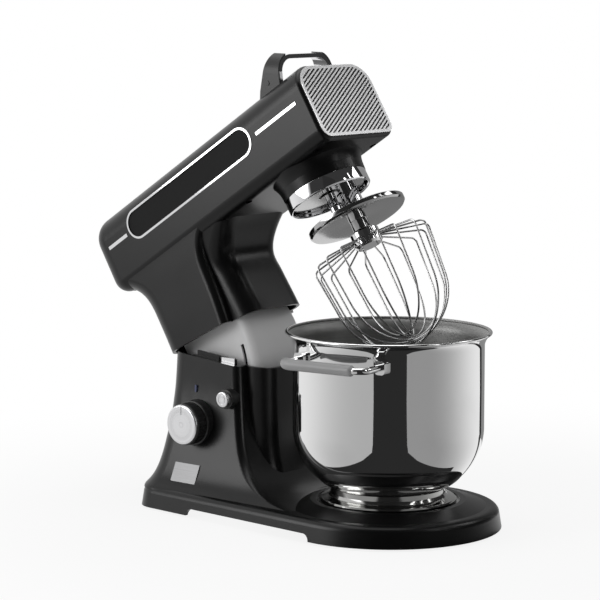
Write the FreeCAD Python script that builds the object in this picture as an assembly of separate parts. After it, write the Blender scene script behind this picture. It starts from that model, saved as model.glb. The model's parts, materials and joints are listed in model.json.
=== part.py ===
import FreeCAD
import Part
import math
import os

from FreeCAD import Vector

# Frame: millimetres, bowl axis on Z, table at z = 0, nose towards +X, control side towards -Y.
# The head is drawn closed and then tilted up about the hinge, which is the stored pose.
# In a table of sizes, "low" and "top" are heights, "r" is a radius and "round" is an edge rounding.

# Driving dimensions of the whole
HINGE_X, HINGE_Z = -276.0, 165.0
TILT = 32.0
SEAM_SLOPE, SEAM_NECK, SEAM_COLUMN = 5.0, 25.1, 23.0
SEAM_FRONT, SEAM_TOP = -120.0, 240.0
WALL = 4.0
SECTION_STEP = 16.0
FIT, PRESS_FIT, GAP, INSET_GAP = 0.05, 0.02, 0.4, 0.05
PRESS = 4.0

# Foot of the base
FOOT_FRONT_R = 134.0
FOOT_REAR_X, FOOT_REAR_Y, FOOT_REAR_R = -276.0, 83.0, 35.0
SKIRT_Z, SHOULDER_Z, PLATEAU_Z = 2.0, 27.0, 34.0
SKIRT_DRAFT, SHOULDER_R = 4.0, 9.0
PLATEAU_LOW_R, PLATEAU_TOP_R, PLATEAU_SUNK = 121.0, 92.0, 1.5
PLATE_Z, PLATE_T, PLATE_EDGE = 13.0, 2.0, 3.2
ARCH = dict(x0=-214.0, x1=-10.0, top=10.5, round=9.0)
FEET = [(62.0, 84.0), (62.0, -84.0), (-262.0, 78.0), (-262.0, -78.0), (104.0, 0.0)]
FOOT_PAD = dict(low_r=11.0, top_r=13.0, nipple_r=4.0, nipple=1.5)
BOTTOM_SCREWS = [(96.0, 45.0), (96.0, -45.0), (-110.0, 96.0), (-110.0, -96.0), (-285.0, 40.0), (-285.0, -40.0)]
BOTTOM_SCREW = dict(head_r=4.2, head_h=2.6, shank_r=2.0, length=10.0)
BOTTOM_POST_R, BOTTOM_TAP_R, BOTTOM_CLEAR_R = 6.0, 2.05, 2.3
SCREW_ROUND, RECESS_SHARE, RECESS_HALF = 0.45, 0.6, 0.4

# Bowl seat
SEAT_R, SEAT_Z, SEAT_T, SEAT_BORE = 85.0, 31.5, 2.5, 50.0
SEAT_CLEAR_R, SEAT_CLEAR_TOP = 97.0, 70.0
CLAW = dict(inner=55.5, post=58.5, lip=64.0, lip_low=38.5, top=41.0, arc=26.0)
SEAT_SCREW_R = 72.0
SEAT_SCREW = dict(head_r=4.2, sink_r=4.4, sunk=1.4, below=0.2, slot=0.6, shank_r=2.0, low=22.0)
SEAT_HOLE_R, SEAT_TAP_R = 2.2, 2.05

# Column sections: height, rear, ridge, half width
COLUMN_SECTIONS = [
    (24.0, -308.5, -40.0, 113.0),
    (33.0, -306.0, -92.0, 104.0),
    (45.0, -303.0, -124.0, 96.5),
    (60.0, -300.5, -143.0, 90.0),
    (80.0, -298.5, -157.0, 84.0),
    (107.0, -296.5, -167.0, 77.0),
    (150.0, -294.5, -175.0, 70.5),
    (205.0, -293.0, -180.0, 67.5),
]
# Column front sections: height, front, half width
FRONT_SECTIONS = [
    (24.0, -86.0, 70.0),
    (36.0, -118.0, 62.0),
    (55.0, -136.0, 56.0),
    (90.0, -146.0, 53.0),
    (205.0, -150.0, 52.0),
]
COLUMN_REAR_R, NECK_REAR_R, RIDGE_R, FRONT_R = 30.0, 28.0, 10.0, 24.0
FRONT_ROOT_X = -230.0
PIN_R, PIN_HALF, PIN_CHAMFER = 5.0, 57.5, 0.8
PIN_BOSS = dict(r=11.0, y0=49.0, y1=66.0)
LEDGE = dict(x0=-256.0, x1=-179.0, y1=80.0, low=170.0, top=190.0)
LIP = dict(x0=-250.0, x1=-187.5, y0=57.8, y1=60.8, low=174.0, top=215.0, rise=6.5)
LATCH = dict(x0=-210.0, x1=-188.0, y0=-60.8, y1=-57.8, low=-3.0, high=6.2, chamfer=1.0)
BADGE = dict(x=-238.0, z=46.5, y=-96.0, lean=24.0, length=40.0, height=24.0, sunk=1.8, proud=0.8, pocket=12.0)
GLAND = dict(x0=-311.0, x1=-290.0, y=45.0, z=50.0, r=8.5, bore=4.0, flange_r=11.5, flange=5.0, round=1.6)

# Controls on the column's side
BOARD = dict(x0=-262.0, x1=-202.0, y=-60.0, z0=78.0, z1=134.0, t=1.6, post_r=3.5, pin_r=1.5, hole_r=1.6)
BOARD_POSTS = [(-256.0, 84.0, 81.0), (-208.0, 84.0, 81.0), (-256.0, 128.0, 72.0), (-208.0, 128.0, 72.0)]
SINK = dict(x=-255.0, pitch=5.0, fins=5, fin=2.0, z0=90.0, z1=112.0, base=2.0, height=7.0)
CHOKE = dict(x=-216.0, z=100.0, r=6.0, height=6.0)
ENCODER = dict(half=8.0, deep=8.0, nose_r=5.0, nose=3.0)
DIAL_X, DIAL_Z, DIAL_R = -237.0, 107.0, 25.2
DIAL = dict(face=-100.0, back=-86.6, round=1.0, spindle_r=3.0)
FLUTE = dict(count=24, r=1.5, out=0.8, end=2.0)
DIAL_CAP = dict(edge=0.8, t=4.0, round=2.4, notch_half=0.7, notch_deep=0.6, notch_in=12.0)
DIAL_COLLAR = dict(r=27.5, face=-86.0, back=-74.0, round=1.5, cup_r=24.0, cup=-80.0, bore=3.6, wall=-66.0)
BUTTON_X, BUTTON_Z, BUTTON_R = -187.0, 141.0, 9.5
BUTTON = dict(face=-86.0, back=-66.0, round=1.4, ring_out=5.6, ring_in=4.9, ring_deep=0.6, slide=0.08)
BUTTON_COLLAR = dict(r=12.0, face=-80.0, round=1.2, wall=-60.0)
INDICATOR = dict(x=-242.5, z=147.0, r=1.4, height=9.0, face=-72.6, back=-66.0)
OUTSIDE_Y = -110.0

# Head casing, drawn closed
HEAD_REAR, HEAD_FRONT = -330.0, 78.0
HEAD_HALF, HEAD_LOW, HEAD_TOP = 66.0, 290.0, 389.0
HEAD_TOP_R, HEAD_LOW_R, HEAD_REAR_R, HEAD_NOSE_R = 30.0, 15.0, 26.0, 6.5
NOSE_R_LOSS = 0.8
SPLIT_Z = 348.0
DRIVE_X = -2.0
SNOUT_R, SNOUT_Z, SNOUT_RISE, TURRET_BORE_R = 52.0, 266.0, 44.0, 49.4
# Turret flare: how far out of the turret's radius, how far above its lower edge
SNOUT_FLARE = [(0.6, 11.0), (3.4, 20.5), (10.5, 30.0)]
# Neck sections: height, rear, ridge, half width
NECK_SECTIONS = [
    (172.0, -290.5, -177.5, 66.0),
    (215.0, -290.0, -173.0, 65.5),
    (255.0, -291.0, -171.0, 65.0),
    (278.0, -298.0, -166.0, 65.0),
    (300.0, -322.0, -146.0, 65.0),
]
# Neck front sections: height, front, half width
NECK_FRONT_SECTIONS = [
    (172.0, -143.0, 52.0),
    (225.0, -146.0, 52.0),
    (252.0, -148.0, 53.0),
    (276.0, -134.0, 56.0),
    (300.0, -92.0, 61.0),
]
SHELF_Z, SHELF_T = 226.0, 5.0
SHELF = dict(x0=-288.0, x1=-174.0, half=63.5, rear_r=26.0, front_r=8.0)
LUG = dict(y0=30.0, y1=43.0, half=10.0, length=74.0, lean=35.0, eye_r=10.4, bush_r=7.0)
SHELL_SCREWS = [(-313.0, 44.0), (-313.0, -44.0), (-76.0, 52.0), (-76.0, -52.0), (50.0, 50.0), (50.0, -50.0)]
SHELL_SCREW = dict(head_r=4.0, head_h=2.6, shank_r=1.85, length=SPLIT_Z + 3.0 - HEAD_LOW)
SHELL_POST_R, SHELL_TAP_R, SHELL_TAP, SHELL_CLEAR_R, SHELL_SINK_R, SHELL_SINK = 5.0, 1.9, 14.0, 2.1, 4.4, 8.0
SHROUD_R, SHROUD_HALF, SHROUD_T, SHROUD_REACH = 111.5, 47.0, 2.5, 38.0
SHROUD = dict(corner=9.0, rear=6.5, slot_out=14.0, slot_w=5.0, slot_low=2.0, slot_arc=32.0)

# Trim of the head
PILL = dict(x0=-260.0, x1=-21.0, z0=332.0, z1=370.0, ring=2.8, depth=2.2, sunk=0.5, proud=0.9, round=0.6)
TRIM_RUNS = [(-302.0, -265.0), (-12.0, 61.0)]
TRIM_LOW, TRIM_HIGH, TRIM_DEPTH, TRIM_PROUD = 345.4, 350.0, 1.4, 0.5
NOSE_INSET, NOSE_DEPTH, NOSE_PROUD, NOSE_RIM = 3.0, 2.6, 0.8, 4.0
RIB_PITCH, RIB_LEAN, RIB_DEPTH, RIB_SHARE = 4.2, 32.0, 1.2, 0.5
BAIL = dict(x=18.0, z=380.0, lean=33.0, half=47.5, rise=50.0, bend=22.0, strip=5.0, foot=17.0, top=8.0)
BAIL_SIDE = dict(sunk=30.0, knee=6.0, taper=1.0, over=2.0, cover=2.2, cover_in=14.0)
PLUG = dict(r=3.2, t=0.8, x=-5.0, z=16.0)

# Drive inside the head
RING_TEETH, PLANET_TEETH, PLANET_MODULE = 60, 19, 1.5
ORBIT = PLANET_MODULE * (RING_TEETH - PLANET_TEETH) / 2.0
MAIN_TEETH, LAY_TEETH, LAY_MODULE = 80, 20, 1.25
PRESSURE_ANGLE = math.radians(20.0)
BACKLASH = 0.22
# Tooth heights in modules from the pitch circle: tip, root
FULL_TOOTH, PLANET_TOOTH, RING_SPACE = (1.0, 1.25), (0.95, 1.2), (1.2, 0.85)
FLANK_LOW, FLANK_HIGH = 0.4, 0.3
LAY_X = DRIVE_X - LAY_MODULE * (MAIN_TEETH + LAY_TEETH) / 2.0
MOTOR_X = LAY_X - 140.0
GEAR_Z, GEAR_FACE = 316.0, 10.0
RING_GEAR = dict(low=267.0, top=281.0)
MAIN_HUB = dict(r=14.0, below=4.0, above=2.0, holes=6, hole_r=9.0, hole_at=30.0)
MAIN_SHAFT = dict(r=7.0, low=256.5, top=330.0, stud_r=3.5, stud_low=236.0)
LAYSHAFT = dict(r=4.0, low=295.5, top=370.0, pinion_over=2.0)
FRAME = dict(x0=-90.0, x1=60.0, half=45.0, rear_r=16.0, front_r=30.0, low=296.0, t=6.0, top=308.0)
FRAME_HUB = dict(r=20.0, low=288.0, lay_r=12.0, lay_low=294.0)
FRAME_LEGS = [(-80.0, 34.0), (-80.0, -34.0), (-58.0, 34.0), (-58.0, -34.0), (54.0, 12.0), (54.0, -12.0)]
FRAME_LEG_R = 4.0
FRAME_RIB = dict(x1=54.0, half=1.5, low=301.0, at=(-12.0, 0.0, 12.0))
MAIN_BEARING = dict(r=14.0, height=9.0, lows=(288.5, 298.5))
MOTOR_BEARING = dict(r=6.5, height=7.0, lows=(234.8, 332.0))
LAY_BUSH = dict(r=8.0, low=295.0, top=307.0)
LAY_PULLEY_R, MOTOR_PULLEY_R = 36.0, 9.0
PULLEY_Z, PULLEY_EDGE, PULLEY_FLANGE, PULLEY_BEVEL = 352.0, 3.0, 2.0, 0.4
SPOKE_HOLE = dict(count=5, r=8.0, at=21.0)
BELT_W, BELT_T, BELT_GAP, BELT_PLAY = 10.0, 2.4, 0.3, 1.2

# Motor
STATOR = dict(r=40.0, bore=24.0, low=258.0, top=312.0, flat=34.0)
MOTOR_LOWER = dict(rear=40.0, front=34.0, half=38.0, corner=12.0, low=238.0, boss=234.5)
MOTOR_UPPER = dict(rear=44.0, front=44.0, half=42.0, corner=14.0, low=336.0, boss=331.0)
MOTOR_PLATE_T, MOTOR_BOSS_R = 4.0, 9.0
MOTOR_POST = dict(r=3.0, x=28.0, y=36.5, low=231.0, top=336.5)
MOTOR_SHAFT_R, ROTOR_LOW, ROTOR_TOP = 4.0, 233.0, 368.0
# Rotor steps above the shaft's lower end: radius, height
ROTOR_STEPS = [
    (MOTOR_SHAFT_R, 246.0), (11.0, 246.0), (11.0, 255.0), (6.0, 255.0), (6.0, 260.0),
    (23.0, 262.0), (23.0, 310.0), (6.0, 312.0), (6.0, 316.0), (MOTOR_SHAFT_R, 316.0),
]
ROTOR_SLOT = dict(count=12, bed=20.5, out=30.0, half=0.9, low=255.0, top=315.0)
FAN = dict(hub_r=8.0, low=317.0, top=329.0, r=33.0, plate_low=326.0, plate_top=328.0)
FAN_BLADE = dict(count=9, half=0.8, inset=1.0)

# Planetary carrier and beater
DRIP_R, DRIP_BORE, DRIP_LOW = 51.6, 48.0, 250.0
CARRIER_TOP, CARRIER_FACE, CARRIER_NECK_R, CARRIER_NECK_TOP = 259.5, 255.2, 9.4, 286.0
# Carrier's underside from the rim to the middle: radius, height
CARRIER_UNDERSIDE = [(46.4, 256.6), (45.0, 255.2), (14.0, 255.2), (12.0, 253.6), (0.0, 253.6)]
NUT = dict(r=6.2, low=231.0, top=253.6, round=1.2)
COLLAR = dict(r=15.8, low=232.0, top=260.5, neck_r=10.0, bore=8.0)
# Collar's lower edge: radius, height
COLLAR_EDGE = [(15.8, 236.0), (14.6, 233.0), (12.6, 232.0)]
BEATER_BUSH = dict(height=11.0, lows=(234.0, 248.0))
PLANET = dict(low=268.0, top=280.0)
BEATER = dict(r=6.0, low=190.0, top=282.0, chamfer=1.0)
DRIVE_PIN = dict(r=2.0, z=212.0, length=19.0, play=0.2)

# Whisk
WIRE_R, LOOPS, LOOP_STEP, LOOP_SHRINK = 1.1, 9, 2.35, 0.35
WHISK_LOW, SHOULDER_RHO, BALL_R = 51.0, 75.5, 69.5
ARM_RHO, ARM_Z, ARM_DROP, BEND_R = 10.0, 195.0, 0.22, 7.0
HUB_R, HUB_LOW, HUB_TOP, HUB_CHAMFER, HUB_NECK_R, HUB_NECK_TOP = 18.0, 184.0, 204.0, 3.0, 11.0, 229.0
DISC_R, DISC_LOW, DISC_TOP, DISC_T, DISC_BEVEL = 61.5, 218.0, 225.5, 1.5, 2.4

# Bowl
BOWL_R, RIM_R, RIM_Z = 112.5, 121.5, 234.0
BOWL_T = 1.4
BOWL_FLOOR_R, BOWL_FLOOR_Z = 62.0, 46.0
BOWL_KNEE, BOWL_KNEE_IN, BOWL_KNEE_TOP = (95.5, 71.5), (94.3, 72.6), 118.0
BOWL_FLARE_Z, BEAD_R, BEAD_W, BEAD_H = 221.0, 1.6, 3.4, 3.8
# Section of the foot ring, from its weld down the outside and back up the inside: radius, height
BOWL_FOOT_SECTION = [
    (66.0, 50.5), (67.8, 51.4), (67.8, 43.0), (70.0, 39.5), (79.0, 36.6), (81.0, 35.0), (81.0, 32.0),
    (79.2, 32.0), (79.2, 34.6), (69.0, 37.9), (66.0, 42.2), (64.6, 46.0), (64.6, 49.6),
]
LUG_RING = dict(outer=80.0, inner=60.5, low=34.2, top=36.8, arc=34.0)
BOWL_HANDLE_TURN, BOWL_HANDLE_Z = -83.0, 207.5
HANDLE = dict(half=55.0, out=142.0, bend=13.0, rod=4.0, grip=6.5, weld_gap=2.6)
PAD = dict(half=6.5, back=14.0, out=9.0, rise=8.0, round=4.0)

X_AXIS, Y_AXIS, Z_AXIS = Vector(1, 0, 0), Vector(0, 1, 0), Vector(0, 0, 1)
ORIGIN = Vector(0, 0, 0)
HINGE = Vector(HINGE_X, 0, HINGE_Z)
HALF_BEND = 1.0 - math.sqrt(0.5)
WIDE = 900.0
NEAR = 0.1


# Small building blocks
def cyl(radius, low, high, x=0.0, y=0.0):
    """Upright cylinder between two heights."""
    return Part.makeCylinder(radius, high - low, Vector(x, y, low))


def tube(outer, inner, low, high, x=0.0, y=0.0):
    """Upright tube between two heights."""
    return cyl(outer, low, high, x, y).cut(cyl(inner, low - 1, high + 1, x, y))


def side_cyl(radius, y0, y1, x, z):
    """Cylinder along Y."""
    return Part.makeCylinder(radius, y1 - y0, Vector(x, y0, z), Y_AXIS)


def block(x0, x1, y0, y1, z0, z1):
    """Box between two corners."""
    return Part.makeBox(x1 - x0, y1 - y0, z1 - z0, Vector(x0, y0, z0))


def slab(z0, z1):
    """Everything between two heights."""
    return block(-WIDE, WIDE, -WIDE, WIDE, z0, z1)


def fuse(shapes):
    """One clean solid from several."""
    return shapes[0].multiFuse(shapes[1:]).removeSplitter()


def cut_all(shape, cuts):
    """Shape with every cut taken out of it."""
    for cut in cuts:
        shape = shape.cut(cut)
    return shape


def bored(shape, radius, x, y=0.0):
    """Shape with an upright hole."""
    return shape.cut(cyl(radius, -WIDE, WIDE, x, y))


def main_solid(shape):
    """The body of a casting, without the slivers that curved cuts can leave."""
    return max(shape.Solids, key=lambda solid: solid.Volume)


def placed(shape, x, y, z):
    """Copy moved to a point."""
    return shape.translated(Vector(x, y, z))


def mirror_y(shape):
    """The same shape on the other side of the XZ plane."""
    return shape.mirror(ORIGIN, Y_AXIS)


def both_sides(shape):
    """Group of a shape and its mirror image."""
    return Part.makeCompound([shape, mirror_y(shape)])


def turned(shape, degrees, centre=ORIGIN, axis=Z_AXIS):
    """Copy turned about an axis."""
    copy = shape.copy()
    copy.rotate(centre, axis, degrees)
    return copy


def pattern(shape, count, centre=ORIGIN, axis=Z_AXIS):
    """List of copies spaced evenly about an axis."""
    return [turned(shape, 360.0 * k / count, centre, axis) for k in range(count)]


def outline(start, steps):
    """Closed wire of lines and arcs: a step is (end,) or (middle, end)."""
    edges = []
    here = start
    for step in steps:
        if len(step) == 1:
            edges.append(Part.LineSegment(here, step[0]).toShape())
        else:
            edges.append(Part.Arc(here, step[0], step[1]).toShape())
        here = step[-1]
    return Part.Wire(edges)


def revolved(points, x=0.0, y=0.0):
    """Solid of revolution about an upright axis from (radius, height) corners."""
    corners = [Vector(x + r, y, z) for r, z in points]
    face = Part.Face(Part.makePolygon(corners + corners[:1]))
    return face.revolve(Vector(x, y, 0), Z_AXIS, 360)


def fillet(shape, radius, chosen):
    """Round the edges that a test picks out."""
    edges = [edge for edge in shape.Edges if chosen(edge)]
    return shape.makeFillet(radius, edges)


def stadium(x0, x1, z0, z1, y0, y1):
    """Pill-shaped prism along Y with round ends."""
    r = (z1 - z0) / 2.0
    middle = (z0 + z1) / 2.0
    wire = outline(Vector(x0 + r, y0, z0), [
        (Vector(x1 - r, y0, z0),),
        (Vector(x1, y0, middle), Vector(x1 - r, y0, z1)),
        (Vector(x0 + r, y0, z1),),
        (Vector(x0, y0, middle), Vector(x0 + r, y0, z0)),
    ])
    return Part.Face(wire).extrude(Vector(0, y1 - y0, 0))


def section(x0, x1, half, rear_r, front_r, z):
    """Level rounded rectangle with its own rear and front corner radii."""
    def bend(cx, cy, r, a):
        return Vector(cx + r * math.cos(math.radians(a)), cy + r * math.sin(math.radians(a)), z)

    rx, ry = x0 + rear_r, half - rear_r
    fx, fy = x1 - front_r, half - front_r
    return outline(bend(fx, -fy, front_r, -90), [
        (bend(fx, -fy, front_r, -45), bend(fx, -fy, front_r, 0)),
        (bend(fx, fy, front_r, 0),),
        (bend(fx, fy, front_r, 45), bend(fx, fy, front_r, 90)),
        (bend(rx, ry, rear_r, 90),),
        (bend(rx, ry, rear_r, 135), bend(rx, ry, rear_r, 180)),
        (bend(rx, -ry, rear_r, 180),),
        (bend(rx, -ry, rear_r, 225), bend(rx, -ry, rear_r, 270)),
        (bend(fx, -fy, front_r, -90),),
    ])


def eased(table, step):
    """Rows of a table of sections, evenly spaced in height on monotone curves."""
    def slope(k, c):
        if k in (0, len(table) - 1):
            near = table[1] if k == 0 else table[-2]
            return (near[c] - table[k][c]) / (near[0] - table[k][0])
        before = (table[k][c] - table[k - 1][c]) / (table[k][0] - table[k - 1][0])
        after = (table[k + 1][c] - table[k][c]) / (table[k + 1][0] - table[k][0])
        return 0.0 if before * after <= 0 else 2.0 * before * after / (before + after)

    low, high = table[0][0], table[-1][0]
    count = max(2, round((high - low) / step))
    rows = []
    for n in range(count + 1):
        z = low + (high - low) * n / count
        k = max(i for i in range(len(table) - 1) if table[i][0] <= z or i == 0)
        h = table[k + 1][0] - table[k][0]
        t = (z - table[k][0]) / h
        row = [z]
        for c in range(1, len(table[0])):
            start, end = table[k][c], table[k + 1][c]
            lift = (t ** 3 - 2 * t ** 2 + t) * h * slope(k, c) + (t ** 3 - t ** 2) * h * slope(k + 1, c)
            row.append(start + (end - start) * (3 * t ** 2 - 2 * t ** 3) + lift)
        rows.append(row)
    return rows


def at_hinge(shape, angle):
    """Copy turned about the Y axis and moved from the origin to the hinge."""
    return turned(shape, angle, ORIGIN, Y_AXIS).translated(HINGE)


def hinge_half_space(angle, distance):
    """Everything beyond a plane at a distance from the hinge, leaning forward by an angle."""
    return at_hinge(block(-WIDE / 2, WIDE / 2, -WIDE / 2, WIDE / 2, distance, distance + WIDE), angle)


def under_seam(distance):
    """Everything under the parting plane between neck and column."""
    box = at_hinge(block(-WIDE / 2, WIDE / 2, -WIDE / 2, WIDE / 2, distance - WIDE, distance), SEAM_SLOPE)
    return box.common(block(-WIDE, SEAM_FRONT, -WIDE, WIDE, 0, SEAM_TOP))


def opened(shape):
    """Closed-head shape moved to the stored pose, tilted up about the hinge."""
    return turned(shape, -TILT, HINGE, Y_AXIS)


# Gears with flat-faced involute teeth
def flank_half_angle(radius, pitch_r, teeth, backlash):
    """Half the angle that a tooth covers at a radius."""
    base_r = pitch_r * math.cos(PRESSURE_ANGLE)
    lean = math.acos(min(1.0, base_r / max(radius, base_r)))
    involute = math.tan(lean) - lean
    start = math.tan(PRESSURE_ANGLE) - PRESSURE_ANGLE
    return math.pi / (2 * teeth) - backlash / (2 * pitch_r) + start - involute


def gear_blank(teeth, module, tooth, backlash, low, high, phase=0.0):
    """Toothed prism about the Z axis: tooth is its tip and root in modules from the pitch circle."""
    pitch_r = teeth * module / 2.0
    tip, root = tooth
    radii = [pitch_r + module * height for height in (-root, -FLANK_LOW, FLANK_HIGH, tip)]
    points = []
    for number in range(teeth):
        centre = math.radians(phase) + 2 * math.pi * number / teeth
        rising = [(r, centre - flank_half_angle(r, pitch_r, teeth, backlash)) for r in radii]
        falling = [(r, 2 * centre - a) for r, a in reversed(rising)]
        points += [Vector(r * math.cos(a), r * math.sin(a), low) for r, a in rising + falling]
    return Part.Face(Part.makePolygon(points + points[:1])).extrude(Vector(0, 0, high - low))


# Base: casting with the column, bottom plate, feet, seat ring
def foot_outline(inset, z):
    """Plan of the base: a round front joined by tangents to two round rear corners."""
    front_r = FOOT_FRONT_R - inset
    rear_r = FOOT_REAR_R - inset
    reach = math.hypot(FOOT_REAR_X, FOOT_REAR_Y)
    normal = math.atan2(FOOT_REAR_Y, FOOT_REAR_X) - math.acos((front_r - rear_r) / reach)

    def on(cx, cy, r, a):
        return Vector(cx + r * math.cos(a), cy + r * math.sin(a), z)

    rx, ry = FOOT_REAR_X, FOOT_REAR_Y
    half_turn = (normal + math.pi) / 2.0
    return outline(on(0, 0, front_r, -normal), [
        (on(0, 0, front_r, 0), on(0, 0, front_r, normal)),
        (on(rx, ry, rear_r, normal),),
        (on(rx, ry, rear_r, half_turn), on(rx, ry, rear_r, math.pi)),
        (on(rx, -ry, rear_r, math.pi),),
        (on(rx, -ry, rear_r, -half_turn), on(rx, -ry, rear_r, -normal)),
        (on(0, 0, front_r, -normal),),
    ])


def ridged_body(side_table, front_table, rear_r, inset):
    """Two lofts: a body with side ridges, and the rounder front that stands out between them."""
    sides = [
        section(x0 + inset, x1 - inset, half - inset, rear_r - inset, RIDGE_R - inset, z)
        for z, x0, x1, half in eased(side_table, SECTION_STEP)
    ]
    front = [
        section(FRONT_ROOT_X, x1 - inset, half - inset, RIDGE_R, FRONT_R - inset, z)
        for z, x1, half in eased(front_table, SECTION_STEP)
    ]
    return [Part.makeLoft(sides, True, False), Part.makeLoft(front, True, False)]


def column_body(inset):
    """Flared column, without its foot."""
    return ridged_body(COLUMN_SECTIONS, FRONT_SECTIONS, COLUMN_REAR_R, inset)


def badge_block(proud):
    """Bare name-plate block, leaning with the flared side."""
    b = BADGE
    plate = block(-b["length"] / 2, b["length"] / 2, -proud, b["sunk"], -b["height"] / 2, b["height"] / 2)
    return placed(turned(plate, -b["lean"], ORIGIN, X_AXIS), b["x"], b["y"], b["z"])


def seam_height(x):
    """Height of the column's top edge."""
    lean = math.radians(SEAM_SLOPE)
    return HINGE_Z + (SEAM_COLUMN - (x - HINGE_X) * math.sin(lean)) / math.cos(lean)


def latch_block(clearance):
    """Latch bar lying along the column's inner lip."""
    top = seam_height((LATCH["x0"] + LATCH["x1"]) / 2)
    return block(
        LATCH["x0"] - clearance, LATCH["x1"] + clearance,
        LATCH["y0"] - clearance, LATCH["y1"] + clearance,
        top + LATCH["low"] - clearance, top + LATCH["high"] + clearance,
    )


def indicator_block(y0, y1):
    """Upright slim prism of the indicator light."""
    i = INDICATOR
    low, high = i["z"] - i["height"] / 2 + i["r"], i["z"] + i["height"] / 2 - i["r"]
    left, right = i["x"] - i["r"], i["x"] + i["r"]
    wire = outline(Vector(left, y0, low), [
        (Vector(i["x"], y0, low - i["r"]), Vector(right, y0, low)),
        (Vector(right, y0, high),),
        (Vector(i["x"], y0, high + i["r"]), Vector(left, y0, high)),
        (Vector(left, y0, low),),
    ])
    return Part.Face(wire).extrude(Vector(0, y1 - y0, 0))


def column_ledges():
    """Hinge bosses and ledges inside the column, on both sides."""
    within = column_body(1.0)[0]
    boss = side_cyl(PIN_BOSS["r"], PIN_BOSS["y0"], PIN_BOSS["y1"], HINGE_X, HINGE_Z)
    ledge = block(LEDGE["x0"], LEDGE["x1"], LIP["y0"], LEDGE["y1"], LEDGE["low"], LEDGE["top"])
    return [piece.common(within) for shape in (boss, ledge) for piece in (shape, mirror_y(shape))]


def column_lips():
    """Thin lips that stand above the column's top edge, on both sides."""
    lip = block(LIP["x0"], LIP["x1"], LIP["y0"], LIP["y1"], LIP["low"], LIP["top"])
    lip = lip.cut(hinge_half_space(SEAM_SLOPE, SEAM_COLUMN + LIP["rise"]))
    return [lip, mirror_y(lip)]


def base_posts():
    """Screw posts over the bottom plate, and posts with pins for the board."""
    posts = [cyl(BOTTOM_POST_R, PLATE_Z + PLATE_T, SHOULDER_Z - WALL + 1, x, y) for x, y in BOTTOM_SCREWS]
    face = BOARD["y"]
    posts += [side_cyl(BOARD["post_r"], -reach, face, x, z) for x, z, reach in BOARD_POSTS]
    return posts + [side_cyl(BOARD["pin_r"], face - 1, face + BOARD["t"], x, z) for x, z, reach in BOARD_POSTS]


def base_openings():
    """Seat recess, skirt arches and every opening in the base's walls."""
    arch = block(ARCH["x0"], ARCH["x1"], -WIDE, WIDE, -ARCH["top"], ARCH["top"])
    upper = ARCH["top"] - NEAR
    arch = fillet(arch, ARCH["round"], lambda e: e.BoundBox.ZMin > upper and e.BoundBox.XLength < NEAR)
    gland = Vector(-WIDE, GLAND["y"], GLAND["z"])
    cuts = [
        cyl(SEAT_R, SEAT_Z - SEAT_T, PLATEAU_Z + WALL),
        cyl(SEAT_CLEAR_R, PLATEAU_Z, SEAT_CLEAR_TOP),
        arch,
        side_cyl(PIN_R + PRESS_FIT, -PIN_HALF - 0.5, PIN_HALF + 0.5, HINGE_X, HINGE_Z),
        side_cyl(DIAL_COLLAR["r"], OUTSIDE_Y, DIAL_COLLAR["wall"], DIAL_X, DIAL_Z),
        side_cyl(BUTTON_COLLAR["r"], OUTSIDE_Y, BUTTON_COLLAR["wall"], BUTTON_X, BUTTON_Z),
        badge_block(BADGE["pocket"]),
        indicator_block(OUTSIDE_Y, BUTTON_COLLAR["wall"]),
        latch_block(GAP),
        placed(latch_block(GAP), -PRESS, 0, 0),
        Part.makeCylinder(GLAND["r"], WIDE + GLAND["x1"], gland, X_AXIS),
    ]
    cuts += [cyl(BOTTOM_TAP_R, PLATE_Z, SHOULDER_Z - 2.0, x, y) for x, y in BOTTOM_SCREWS]
    return cuts + pattern(cyl(SEAT_TAP_R, SEAT_SCREW["low"] - 2.0, PLATEAU_Z, SEAT_SCREW_R), 3)


def make_base_casting():
    """Die-cast foot and column in one piece, open below and at the top."""
    skirt = Part.makeLoft([foot_outline(0, SKIRT_Z), foot_outline(SKIRT_DRAFT, SHOULDER_Z)], True, True)
    skirt = fillet(skirt, SHOULDER_R, lambda e: e.BoundBox.ZMin > SHOULDER_Z - NEAR)
    plateau_low = SHOULDER_Z - PLATEAU_SUNK
    plateau = Part.makeCone(PLATEAU_LOW_R, PLATEAU_TOP_R, PLATEAU_Z - plateau_low, Vector(0, 0, plateau_low))
    shell = fuse([skirt, plateau] + column_body(0.0))
    cavity = Part.makeLoft(
        [foot_outline(WALL, SKIRT_Z - 1), foot_outline(WALL + SKIRT_DRAFT, SHOULDER_Z - WALL)], True, True
    )
    shell = cut_all(shell, column_body(WALL) + [cavity])
    shell = fuse([shell] + column_ledges())
    shell = cut_all(shell, [hinge_half_space(angle, SEAM_COLUMN) for angle in (SEAM_SLOPE, SEAM_SLOPE - TILT)])
    shell = fuse([shell] + column_lips() + base_posts())
    return cut_all(shell, base_openings()).removeSplitter()


def make_bottom_plate():
    """Pressed cover under the base."""
    plate = Part.Face(foot_outline(WALL + PLATE_EDGE, PLATE_Z)).extrude(Vector(0, 0, PLATE_T))
    for x, y in BOTTOM_SCREWS:
        plate = bored(plate, BOTTOM_CLEAR_R, x, y)
    for x, y in FEET:
        plate = bored(plate, FOOT_PAD["nipple_r"], x, y)
    return plate


def make_rubber_feet():
    """Tapered feet, each with a nipple pressed through the bottom plate."""
    f = FOOT_PAD
    feet = []
    for x, y in FEET:
        foot = Part.makeCone(f["low_r"], f["top_r"], PLATE_Z, Vector(x, y, 0))
        feet.append(fuse([foot, cyl(f["nipple_r"], PLATE_Z, PLATE_Z + PLATE_T + f["nipple"], x, y)]))
    return Part.makeCompound(feet)


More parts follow.
